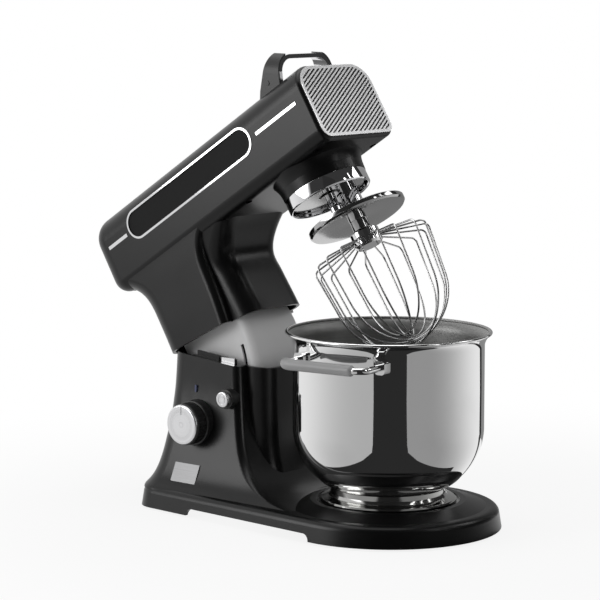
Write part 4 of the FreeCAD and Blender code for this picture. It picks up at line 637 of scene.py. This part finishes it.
def rod(
    path: Sequence[Vector], radii: Sequence[float], sides: int, offset: int = 0
) -> tuple[list[Vector], list[Sequence[int]]]:
    """Skin of a round rod along a path, closed at both ends and turned no more than the path turns.

    Args:
        path: points of the centre line.
        radii: the rod's radius at each of them.
        sides: flats round the rod.
        offset: number of the first point.

    Returns:
        Points and faces.
    """
    points: list[Vector] = []
    faces: list[Sequence[int]] = []
    along = (path[1] - path[0]).normalized()
    side = along.orthogonal().normalized()
    for k, here in enumerate(path):
        ahead = path[min(k + 1, len(path) - 1)] - path[max(k - 1, 0)]
        turned = ahead.normalized()
        side = (along.rotation_difference(turned) @ side).normalized()
        along = turned
        up = along.cross(side)
        for i in range(sides):
            angle = math.tau * i / sides
            points.append(here + (side * math.cos(angle) + up * math.sin(angle)) * radii[k])
    for k in range(len(path) - 1):
        for i in range(sides):
            j = (i + 1) % sides
            low, high = offset + k * sides, offset + (k + 1) * sides
            faces.append((low + i, low + j, high + j, high + i))
    last = offset + (len(path) - 1) * sides
    faces.append([offset + i for i in reversed(range(sides))])
    faces.append([last + i for i in range(sides)])
    return points, faces


@dataclass(frozen=True)
class Extent:
    """Radii and heights of a turned node about its own axis."""

    radius: float
    bore: float
    low: float
    high: float

    @classmethod
    def of(cls, node: str, where: Matrix) -> "Extent":
        """Measure a node.

        Args:
            node: the node's name.
            where: the frame whose Z axis the node turns about.

        Returns:
            The node's radii and heights.
        """
        into = where.inverted()
        points = [into @ vertex.co for vertex in frame["nodes"][node].data.vertices]
        radii = [math.hypot(p.x, p.y) for p in points]
        heights = [p.z for p in points]
        return cls(max(radii), min(radii), min(heights), max(heights))


class SubAssembly:
    """What every sub-assembly does: dress its nodes and set new pieces on their bodies."""

    def dress(self, finish: Finish, *nodes: str) -> None:
        """Give CAD nodes their finish.

        Args:
            finish: the finish that they share.
            nodes: the nodes' names.
        """
        for node in nodes:
            for slot in frame["nodes"][node].material_slots:
                slot.link = "OBJECT"
                slot.material = finish.material()
            LOG.info("%s wears %s", node, finish.name)

    def fit(self, piece: bpy.types.Object, body: str, slot: str, finish: Finish, *nodes: str) -> None:
        """Finish a new piece and set it on a body.

        Args:
            piece: the new piece, in place.
            body: the body that it rides on.
            slot: the record's slot for its finish; not used.
            finish: its finish, unless it has been given its own.
            nodes: the nodes that it stands for.
        """
        if not piece.data.materials:
            piece.data.materials.append(finish.material())
        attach(piece, body)
        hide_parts(*nodes)
        LOG.info("%s rides on %s", piece.name, body)


def joint(name: str) -> Mapping[str, object]:
    """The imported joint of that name."""
    return next(entry for entry in frame["joints"] if entry["name"] == name)


def drawn_to_rest() -> Matrix:
    """Turn of the head from level to its stored, raised place."""
    hinge = joint("head_tilt")
    angle = math.radians(hinge["range_deg"][1])
    centre = Matrix.Translation(Vector(hinge["pos_m"]))
    return centre @ Matrix.Rotation(-angle, 4, "Y") @ centre.inverted()


def spindle(name: str) -> Matrix:
    """Frame of an upright spindle of the head, with Z up the spindle and its foot on the table's level."""
    rest = drawn_to_rest()
    level = rest.inverted() @ Vector(joint(name)["pos_m"])
    return rest @ Matrix.Translation((level.x, level.y, 0.0))


@dataclass
class Bowl(SubAssembly):
    """Pressed bowl with a rolled rim, its foot and its side handle."""

    wall: float = 0.1125
    thickness: float = 0.0014
    floor_r: float = 0.062
    axis_gap: float = 0.0005
    knee: Point = (0.0955, 0.0715)
    knee_inward: Point = (0.0012, 0.0011)
    knee_top: float = 0.118
    knee_lift: float = 0.0002
    flare_low: float = 0.221
    flare_start: Point = (0.003, 0.0026)
    flare_bend: Point = (0.0012, 0.0015)
    flare_bend_inside: Point = (0.0010, 0.0018)
    bead: float = 0.0019
    sides: int = 224
    knee_steps: int = 28
    rim_steps: int = 8
    handle_turn: float = -83.0
    handle_half: float = 0.055
    handle_out: float = 0.142
    handle_bend: float = 0.013
    handle_z: float = 0.2075
    grip_r: float = 0.0065
    grip_end_r: float = 0.0044
    grip_soft: float = 0.0035
    grip_sides: int = 32

    def outside(self, size: Extent) -> list[Point]:
        """Section of the bowl's outside.

        Args:
            size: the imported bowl's radii and heights.

        Returns:
            Points from the floor's centre to the top of the rim.
        """
        rim, high, bead, wall = size.radius, size.high, self.bead, self.wall
        foot = (wall, self.flare_low - self.flare_start[0])
        bend = (wall + self.flare_bend[0], self.flare_low + self.flare_bend[1])
        lip = (rim - bead, high - 2.0 * bead)
        points = [(self.axis_gap, size.low), (self.floor_r, size.low)]
        points += arc(points[-1], self.knee, (wall, self.knee_top), self.knee_steps)
        points += [(wall, 0.5 * (self.knee_top + self.flare_low)), foot]
        points += arc(foot, bend, lip, self.rim_steps)
        points += arc(lip, (rim, high - bead), (rim - bead, high), self.rim_steps)
        return points

    def inside(self, size: Extent) -> list[Point]:
        """Section of the bowl's inside.

        Args:
            size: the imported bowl's radii and heights.

        Returns:
            Points from the top of the rim back to the floor's centre.
        """
        rim, high, bead, wall = size.radius, size.high, self.bead, self.wall - self.thickness
        rolled = rim - 2 * bead
        floor = size.low + self.thickness
        foot = (wall, self.flare_low - self.flare_start[1])
        bend = (wall + self.flare_bend_inside[0], self.flare_low + self.flare_bend_inside[1])
        knee = (self.knee[0] - self.knee_inward[0], self.knee[1] + self.knee_inward[1])
        points = arc((rim - bead, high), (rolled, high - 0.6 * bead), (rolled, high - 1.6 * bead), 6)
        points += arc(points[-1], bend, foot, self.rim_steps)
        points += [(wall, 0.5 * (self.knee_top + self.flare_low)), (wall, self.knee_top + self.knee_lift)]
        points += arc(points[-1], knee, (self.floor_r, floor), self.knee_steps)
        points += [(self.axis_gap, floor)]
        return points

    def build_shell(self) -> None:
        """Turn the bowl, polished outside and brushed inside."""
        size = Extent.of("bowl_shell", Matrix.Identity(4))
        outside, inside = self.outside(size), self.inside(size)
        shell = lathe("bowl_pressing", outside + inside, Matrix.Identity(4), self.sides)
        shell.data.materials.append(POLISHED_STEEL.material())
        shell.data.materials.append(BOWL_INSIDE.material())
        for face in shell.data.polygons:
            row = face.index % len(outside + inside)
            face.material_index = 0 if row < len(outside) else 1
        self.fit(shell, "bowl", "polished_steel", POLISHED_STEEL, "bowl_shell")

    def handle_frame(self) -> Matrix:
        """Plan frame of the handle: X across it and Y away from the bowl."""
        return Matrix.Rotation(math.radians(self.handle_turn - 90.0), 4, "Z")

    def build_grip(self) -> None:
        """Sleeve on the handle's cross bar, slightly fuller in the middle."""
        side, out, bend, z = self.handle_half, self.handle_out, self.handle_bend, self.handle_z
        dip = bend * (1.0 - math.sqrt(0.5))
        plan = [(side, out - bend)]
        plan += arc(plan[0], (side - dip, out - dip), (side - bend, out), 14)
        run, steps = 2.0 * (side - bend), 40
        plan += [(side - bend - run * k / steps, out) for k in range(1, steps + 1)]
        path = [Vector((x, y, z)) for x, y in plan]
        lengths = [0.0]
        for before, after in zip(path, path[1:]):
            lengths.append(lengths[-1] + (after - before).length)
        radii = []
        for length in lengths:
            from_end = min(length, lengths[-1] - length)
            ease = math.sqrt(max(0.0, 1.0 - (1.0 - min(1.0, from_end / self.grip_soft)) ** 2))
            radii.append(self.grip_end_r + (self.grip_r - self.grip_end_r) * ease)
        points, faces = rod(path, radii, self.grip_sides)
        where = self.handle_frame()
        grip = new_mesh("bowl_handle_grip", [where @ p for p in points], faces)
        self.fit(grip, "bowl", "grey_plastic", GRIP_PLASTIC, "handle_grip")

    def build(self) -> None:
        """Make and dress the bowl."""
        self.build_shell()
        self.build_grip()
        self.dress(FOOT_STEEL, "bowl_foot")
        self.dress(POLISHED_STEEL, "handle_rod", "handle_brackets")


@dataclass
class Whisk(SubAssembly):
    """Balloon whisk: nested wire loops, their hub and the splash disc above it."""

    loops: int = 9
    wire_r: float = 0.0011
    wire_sides: int = 12
    loop_step: float = 0.00235
    shrink: float = 0.35
    arm_rho: float = 0.010
    arm_z: float = 0.195
    arm_drop: float = 0.22
    bend: float = 0.007
    bend_steps: int = 8
    ball_steps: int = 44
    shoulder_rho: float = 0.0755
    ball_r: float = 0.0695
    sheet: float = 0.0015
    disc_bend: Point = (0.0022, 0.0024)
    disc_bend_inside: Point = (0.0028, 0.0030)
    disc_edge: float = 0.0009

    def __post_init__(self) -> None:
        """Read the whisk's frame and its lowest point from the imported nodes."""
        self.where = spindle("beater_spin")
        self.low = Extent.of("whisk_wires", self.where).low + self.wire_r

    def loop_path(self, index: int) -> list[Vector]:
        """Centre line of one loop.

        Args:
            index: 0 for the outermost loop.

        Returns:
            Points from one end in the hub to the other.
        """
        rise = self.loop_step * index
        shoulder, ball = self.shoulder_rho - self.shrink * rise, self.ball_r - self.shrink * rise
        centre_z = self.low + rise + ball
        shoulder_z = self.arm_z - self.arm_drop * (shoulder - self.arm_rho)
        dz = shoulder_z - centre_z
        touch = math.atan2(dz, shoulder) - math.acos(ball / math.hypot(shoulder, dz))
        arm, corner = Vector((self.arm_rho, self.arm_z)), Vector((shoulder, shoulder_z))
        tangent = Vector((ball * math.cos(touch), centre_z + ball * math.sin(touch)))
        back, on = (arm - corner).normalized(), (tangent - corner).normalized()
        half = back.angle(on) / 2.0
        reach = self.bend / math.tan(half)
        enter, leave = corner + back * reach, corner + on * reach
        middle = corner + (back + on).normalized() * (self.bend / math.sin(half) - self.bend)
        side = [tuple(arm), tuple(enter)]
        side += arc(tuple(enter), tuple(middle), tuple(leave), self.bend_steps)
        side += [tuple(tangent)]
        lowest, mirrored = (0.0, centre_z - ball), (-tangent.x, tangent.y)
        bottom = arc(tuple(tangent), lowest, mirrored, self.ball_steps)
        flat = side + bottom + [(-rho, z) for rho, z in reversed(side[:-1])]
        angle = math.pi * index / self.loops
        return [Vector((rho * math.cos(angle), rho * math.sin(angle), z)) for rho, z in flat]

    def build_wires(self) -> None:
        """Bend every loop and join them into one piece."""
        points: list[Vector] = []
        faces: list[Sequence[int]] = []
        for index in range(self.loops):
            path = self.loop_path(index)
            more, skin = rod(path, [self.wire_r] * len(path), self.wire_sides, len(points))
            points += [self.where @ p for p in more]
            faces += skin
        wires = new_mesh("whisk_balloon", points, faces)
        self.fit(wires, "beater", "steel", BRIGHT_WIRE, "whisk_wires")

    def build_disc(self) -> None:
        """Turn the splash disc: shallow, with a turned-up rim and a rounded edge."""
        size = Extent.of("whisk_disc", self.where)
        top, low, rim, bore = size.high, size.low, size.radius, size.bore
        (across, up), (across_inside, up_inside) = self.disc_bend, self.disc_bend_inside
        sheet, upper = self.sheet, low + self.sheet
        corners = [(bore, low), (rim - across, low), (rim, low + up), (rim, top), (rim - sheet, top)]
        corners += [(rim - sheet, low + up_inside), (rim - across_inside, upper), (bore, upper)]
        disc = lathe("whisk_splash_disc", rounded(corners, self.disc_edge), self.where)
        self.fit(disc, "beater", "cast_aluminium", SPUN_STEEL, "whisk_disc")

    def build(self) -> None:
        """Make and dress the whisk."""
        self.build_wires()
        self.build_disc()
        self.dress(POLISHED_STEEL, "whisk_hub")
        self.dress(BRIGHT_STEEL, "beater_shaft", "drive_pin", "planet_pinion")


@dataclass
class Head(SubAssembly):
    """Tilting head: painted shells, side insets, nose plate, lift handle and drip ring."""

    lip: float = 0.0016
    bore_bevel: float = 0.0010
    ring_edge: float = 0.0008
    ring_sides: int = 200

    def build_drip_ring(self) -> None:
        """Turn the chrome ring under the turret with a rolled lower edge."""
        where = spindle("carrier_spin")
        size = Extent.of("drip_ring", where)
        bore, rim, low, high, lip = size.bore, size.radius, size.low, size.high, self.lip
        corners = [(bore, high), (bore, low + lip), (bore + self.bore_bevel, low)]
        corners += [(rim - lip, low), (rim, low + lip), (rim, high)]
        ring = lathe("turret_drip_ring", rounded(corners, self.ring_edge), where, self.ring_sides)
        self.fit(ring, "head", "polished_chrome", CHROME, "drip_ring")

    def nose_finish(self) -> RibbedMetal:
        """Finish of the nose plate, which knows how far out the plate's face lies."""
        where = drawn_to_rest() @ Matrix.Rotation(math.radians(90.0), 4, "Y")
        outward = where.to_3x3() @ Vector((0.0, 0.0, 1.0))
        face = Extent.of("nose_plate", where).high + where.translation.dot(outward)
        return RibbedMetal("satin_nose_metal", tuple(outward), face)

    def build(self) -> None:
        """Make and dress the head."""
        self.build_drip_ring()
        self.dress(BLACK_PAINT, "head_upper_shell", "head_lower_shell")
        self.dress(BRIGHT_STEEL, "shell_screws")
        self.dress(SINTERED_BRONZE, "hinge_bushes")
        self.dress(GREY_PLASTIC, "neck_shroud")
        self.dress(PANEL_PLASTIC, "side_panels")
        self.dress(CHROME, "panel_rings", "side_trim", "lift_handle")
        self.dress(self.nose_finish(), "nose_plate")
        self.dress(BLACK_PLASTIC, "handle_covers", "handle_plugs")


@dataclass
class Base(SubAssembly):
    """Foot and column with what is fixed to them."""

    def build(self) -> None:
        """Dress the base."""
        self.dress(BLACK_PAINT, "base_casting")
        self.dress(BRIGHT_STEEL, "bottom_plate", "bottom_screws", "seat_screws", "hinge_pin")
        self.dress(BLACK_RUBBER, "rubber_feet", "cord_gland")
        self.dress(FOOT_STEEL, "seat_ring")
        self.dress(BOARD_GREEN, "control_board")
        self.dress(BLACK_PLASTIC, "dial_encoder")
        self.dress(PLATE_METAL, "badge_plate")
        self.dress(CLEAR_LENS, "indicator_lens")


@dataclass
class Controls(SubAssembly):
    """Speed dial, head release and its latch."""

    dial_colour: Colour = (0.72, 0.72, 0.73)
    button_colour: Colour = (0.70, 0.70, 0.71)
    face_rough: float = 0.30

    def build(self) -> None:
        """Dress the controls, with the brushing of each knob about its own axis."""
        dial = tuple(joint("speed_turn")["pos_m"])
        low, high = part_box("release_button")
        button = tuple((low + high) / 2.0)
        rough, turned = self.face_rough, Grain.ROUND_Y
        self.dress(BrushedMetal("turned_dial_face", turned, self.dial_colour, rough, dial), "dial_cap")
        button_face = BrushedMetal("turned_button_face", turned, self.button_colour, rough, button)
        self.dress(button_face, "release_button")
        self.dress(BLACK_PLASTIC, "speed_dial", "dial_collar", "button_collar")
        self.dress(CHROME, "latch_bar")


@dataclass
class Drive(SubAssembly):
    """Motor, belt, gears and the planetary carrier."""

    def build(self) -> None:
        """Dress the drive."""
        self.dress(BRIGHT_STEEL, "ring_gear", "drive_bearings", "motor_frame")
        self.dress(BRIGHT_STEEL, "layshaft", "lay_pinion", "main_shaft")
        self.dress(CAST_ALUMINIUM, "gear_frame", "motor_pulley", "belt_pulley")
        self.dress(LAMINATED_IRON, "motor_stator", "motor_rotor")
        self.dress(BLACK_RUBBER, "drive_belt")
        self.dress(BLACK_PLASTIC, "cooling_fan")
        self.dress(NATURAL_NYLON, "main_gear")
        self.dress(SPUN_STEEL, "planet_carrier")
        self.dress(CHROME, "carrier_nut", "beater_collar")
        self.dress(SINTERED_BRONZE, "beater_bushes")


@dataclass(frozen=True)
class Softbox:
    """A soft lamp: where it stands, how large it is and how strong."""

    name: str
    place: tuple[float, float, float]
    size: tuple[float, float]
    power: float


@dataclass(frozen=True)
class Pool:
    """Light of one half of the floor in mirrors, which grows with the angle away from the camera."""

    least: float
    gain: float
    start: float
    stop: float

    def level(self, turn: Signal) -> Signal:
        """Light at a place.

        Args:
            turn: cosine between the way to the place and the way to the camera.

        Returns:
            The level.
        """
        return self.least + self.gain * turn.between(self.start, self.stop)


@dataclass
class Studio:
    """Camera, lamps, pale floor and the cards that shape the reflections."""

    azimuth: float = 41.0
    elevation: float = 7.51
    distance: float = 3.0
    slide: float = -0.10369
    target_z: float = 0.26922
    lens: float = 154.1184
    sensor: float = 36.0
    aim: tuple[float, float, float] = (-0.1, 0.0, 0.25)
    aisle_half: float = 18.5
    aisle_near: float = 0.10
    aisle_far: float = 3.8
    aisle_tall: float = 4.2
    flare_reach: tuple[float, float] = (0.03, 0.21)
    flare_share: float = 0.66
    flare_power: float = 1.4
    flare_steps: int = 12
    card_level: float = 0.028
    card_lift: float = 0.0006
    edge_level: float = 0.28
    edge_turns: tuple[float, float, float] = (128.0, 135.0, 176.0)
    edge_reach: tuple[float, float] = (0.15, 0.5)
    edge_tall: float = 0.9
    floor_half: float = 9.0
    floor_drop: float = 0.0004
    floor_grey: float = 0.80
    floor_white: tuple[float, float] = (0.86, 0.14)
    floor_clear: tuple[float, float] = (0.30, 0.95)
    left_pool: Pool = Pool(0.52, 0.44, 0.95, -0.6)
    right_pool: Pool = Pool(0.36, 0.62, 0.75, -0.65)
    pool_seam: float = 0.02
    left_share: float = 0.9
    room_level: float = 0.04
    room_edge: tuple[float, float] = (0.0, 0.16)
    fill_level: float = 0.30
    lamps: tuple[Softbox, ...] = (
        Softbox("key_softbox", (-1.25, -1.70, 0.75), (1.3, 1.1), 18.0),
        Softbox("top_softbox", (-0.25, -0.10, 2.1), (1.7, 1.5), 16.0),
        Softbox("side_strip", (1.55, 0.15, 1.25), (0.14, 1.1), 2.4),
        Softbox("far_strip", (1.40, 0.75, 1.35), (0.06, 1.1), 1.0),
        Softbox("nose_softbox", (1.05, 1.50, 1.55), (0.7, 0.7), 5.0),
    )

    def across(self) -> Vector:
        """Level direction to the right of the view."""
        turn = math.radians(self.azimuth)
        return Vector((math.cos(turn), math.sin(turn), 0.0))

    def back(self) -> Vector:
        """Direction from the object to the camera."""
        turn, rise = math.radians(self.azimuth), math.radians(self.elevation)
        return Vector((math.sin(turn) * math.cos(rise), -math.cos(turn) * math.cos(rise), math.sin(rise)))

    def ahead(self) -> Vector:
        """Level direction from the object towards the camera."""
        turn = math.radians(self.azimuth)
        return Vector((math.sin(turn), -math.cos(turn), 0.0))

    def build_camera(self) -> None:
        """Stand the camera at the photograph's angle."""
        data = bpy.data.cameras.new("camera")
        data.lens = self.lens
        data.sensor_width = self.sensor
        camera = bpy.data.objects.new("camera", data)
        target = self.across() * self.slide + Vector((0.0, 0.0, self.target_z))
        camera.location = target + self.back() * self.distance
        camera.rotation_euler = self.back().to_track_quat("Z", "Y").to_euler()
        bpy.context.scene.collection.objects.link(camera)
        bpy.context.scene.camera = camera

    def build_lamps(self) -> None:
        """Hang the soft lamps, each aimed at the object."""
        for lamp in self.lamps:
            data = bpy.data.lights.new(lamp.name, "AREA")
            data.shape = "RECTANGLE"
            data.size, data.size_y = lamp.size
            data.energy = lamp.power
            light = bpy.data.objects.new(lamp.name, data)
            light.location = lamp.place
            away = Vector(lamp.place) - Vector(self.aim)
            light.rotation_euler = away.to_track_quat("Z", "Y").to_euler()
            bpy.context.scene.collection.objects.link(light)

    @staticmethod
    def seen_directly(graph: Graph) -> tuple[Signal, Signal]:
        """What kind of ray asks.

        Args:
            graph: the tree of a floor or of the world.

        Returns:
            1 for the camera's rays, and 1 for those of mirrors and clear plastic.
        """
        path = graph.node("ShaderNodeLightPath")
        outputs = path.socket.node.outputs
        glossy = Signal(graph, outputs["Is Glossy Ray"])
        through = Signal(graph, outputs["Is Transmission Ray"])
        return Signal(graph, outputs["Is Camera Ray"]), glossy.largest(through)

    @staticmethod
    def along(graph: Graph, place: Signal, way: Vector) -> Signal:
        """How far a place lies along a direction.

        Args:
            graph: the tree to add to.
            place: a point or a direction.
            way: the direction to measure along.

        Returns:
            The distance, or the cosine for a direction.
        """
        settings = {"operation": "DOT_PRODUCT"}
        return graph.node("ShaderNodeVectorMath", settings, {0: place, 1: tuple(way)}, out="Value")

    def build_world(self) -> None:
        """White backdrop to look at, a dark room behind the camera, and a plain grey fill to light with."""
        world = bpy.data.worlds.new("studio_world")
        bpy.context.scene.world = world
        world.use_nodes = True
        graph = Graph(world.node_tree)
        way = graph.node("ShaderNodeTexCoord", out="Generated")
        bright_way = (-self.across() * self.left_share - self.back()).normalized()
        facing = self.along(graph, way, bright_way)
        camera, mirror = self.seen_directly(graph)
        room = self.room_level + (1.0 - self.room_level) * facing.between(*self.room_edge)
        level = camera + mirror * (1.0 - camera) * room + (1.0 - camera.largest(mirror)) * self.fill_level
        sky = graph.node("ShaderNodeBackground", sockets={"Color": (1.0, 1.0, 1.0, 1.0), "Strength": level})
        graph.node("ShaderNodeOutputWorld", sockets={"Surface": sky})

    def build_floor(self) -> None:
        """Pale floor that keeps a soft shadow."""
        half, grey = self.floor_half, self.floor_grey
        corners = [(-half, -half, 0.0), (half, -half, 0.0), (half, half, 0.0), (-half, half, 0.0)]
        floor = new_mesh("studio_floor", corners, [(0, 1, 2, 3)])
        floor.location.z = -self.floor_drop
        material = bpy.data.materials.new("pale_floor")
        material.use_nodes = True
        graph = Graph(material.node_tree)
        matt = graph.node("ShaderNodeBsdfDiffuse", sockets={"Color": (grey, grey, grey, 1.0)})
        place = graph.node("ShaderNodeNewGeometry", out="Position")
        right = self.along(graph, place, self.across())
        ahead = self.along(graph, place, self.ahead())
        apart = (right * right + ahead * ahead) ** 0.5
        turn = ahead / apart
        on_right = right.between(-self.pool_seam, self.pool_seam)
        camera, mirror = self.seen_directly(graph)
        pool = self.left_pool.level(turn) * (1.0 - on_right) + self.right_pool.level(turn) * on_right
        level = camera + (1.0 - camera) * pool
        white = graph.node("ShaderNodeEmission", sockets={"Color": (1.0, 1.0, 1.0, 1.0), "Strength": level})
        least, gain = self.floor_white
        share = camera * (least + gain * apart.between(*self.floor_clear)) + mirror * (1.0 - camera)
        mixed = graph.node("ShaderNodeMixShader", sockets={0: share, 1: matt, 2: white})
        graph.node("ShaderNodeOutputMaterial", sockets={"Surface": mixed})
        floor.data.materials.append(material)

    def card(self, name: str, corners: Sequence[Vector], level: Optional[float] = None) -> None:
        """Card of an even grey that only mirrors see.

        Args:
            name: the card's name.
            corners: its corners in order.
            level: its grey, where it isn't as dark as the others.
        """
        grey = self.card_level if level is None else level
        material = bpy.data.materials.new(name + "_grey")
        material.use_nodes = True
        graph = Graph(material.node_tree)
        shade = graph.node("ShaderNodeEmission", sockets={"Color": (grey, grey, grey, 1.0), "Strength": 1.0})
        graph.node("ShaderNodeOutputMaterial", sockets={"Surface": shade})
        card = new_mesh(name, corners, [tuple(range(len(corners)))])
        card.data.materials.append(material)
        card.visible_camera = False
        card.visible_diffuse = False
        card.visible_shadow = False
        card.visible_transmission = False

    def flat(self, name: str, plan: Sequence[Vector]) -> None:
        """Dark card that lies on the floor.

        Args:
            name: the card's name.
            plan: its corners on the floor, in order.
        """
        self.card(name, [corner + Vector((0.0, 0.0, self.card_lift)) for corner in plan])

    def build_aisle(self) -> None:
        """Dark aisle from the object to the camera, flared where it meets the object's foot."""
        level, side = self.ahead(), self.across()
        spread = math.tan(math.radians(self.aisle_half))
        wide, far = self.aisle_near, self.aisle_far
        start, stop = self.flare_reach
        plan = []
        for step in range(self.flare_steps):
            left = 1.0 - step / self.flare_steps
            flare = 1.0 + self.flare_share * left ** self.flare_power
            plan.append((stop - (stop - start) * left, wide * flare))
        plan += [(wide / spread, wide), (far, far * spread)]
        floor = [level * away + side * half for away, half in plan]
        floor += [level * away - side * half for away, half in reversed(plan)]
        self.flat("aisle_floor_card", floor)
        end = side * (far * spread)
        self.upright("aisle_end_card", level * far - end, level * far + end, self.aisle_tall)

    def build_edge(self) -> None:
        """Dark line and grey field behind the object's right edge."""
        turns = [math.radians(turn) for turn in self.edge_turns]
        line, edge, tail = [self.ahead() * math.cos(turn) + self.across() * math.sin(turn) for turn in turns]
        near, out = self.edge_reach
        self.upright("right_upright_card", line * out, edge * out, self.edge_tall)
        self.flat("right_floor_card", [line * near, edge * near, edge * out, line * out])
        self.upright("right_grey_card", edge * out, tail * out, self.edge_tall, self.edge_level)

    def upright(
        self, name: str, start: Vector, end: Vector, tall: float, level: Optional[float] = None
    ) -> None:
        """Card that stands on the floor.

        Args:
            name: the card's name.
            start: one lower corner.
            end: the other lower corner.
            tall: its height.
            level: its grey, where it isn't as dark as the others.
        """
        up = Vector((0.0, 0.0, tall))
        self.card(name, [start, end, end + up, start + up], level)

    def build(self) -> None:
        """Set the studio up."""
        self.build_camera()
        self.build_lamps()
        self.build_world()
        self.build_floor()
        self.build_aisle()
        self.build_edge()
        bpy.context.scene.view_settings.view_transform = "Standard"


def main() -> None:
    """Build the studio and every sub-assembly in order."""
    logging.basicConfig(level=logging.INFO, format="%(name)s: %(message)s")
    Studio().build()
    for part in (Base(), Controls(), Bowl(), Head(), Drive(), Whisk()):
        part.build()
        LOG.info("%s is done", type(part).__name__)


if __name__ == "__main__":
    main()
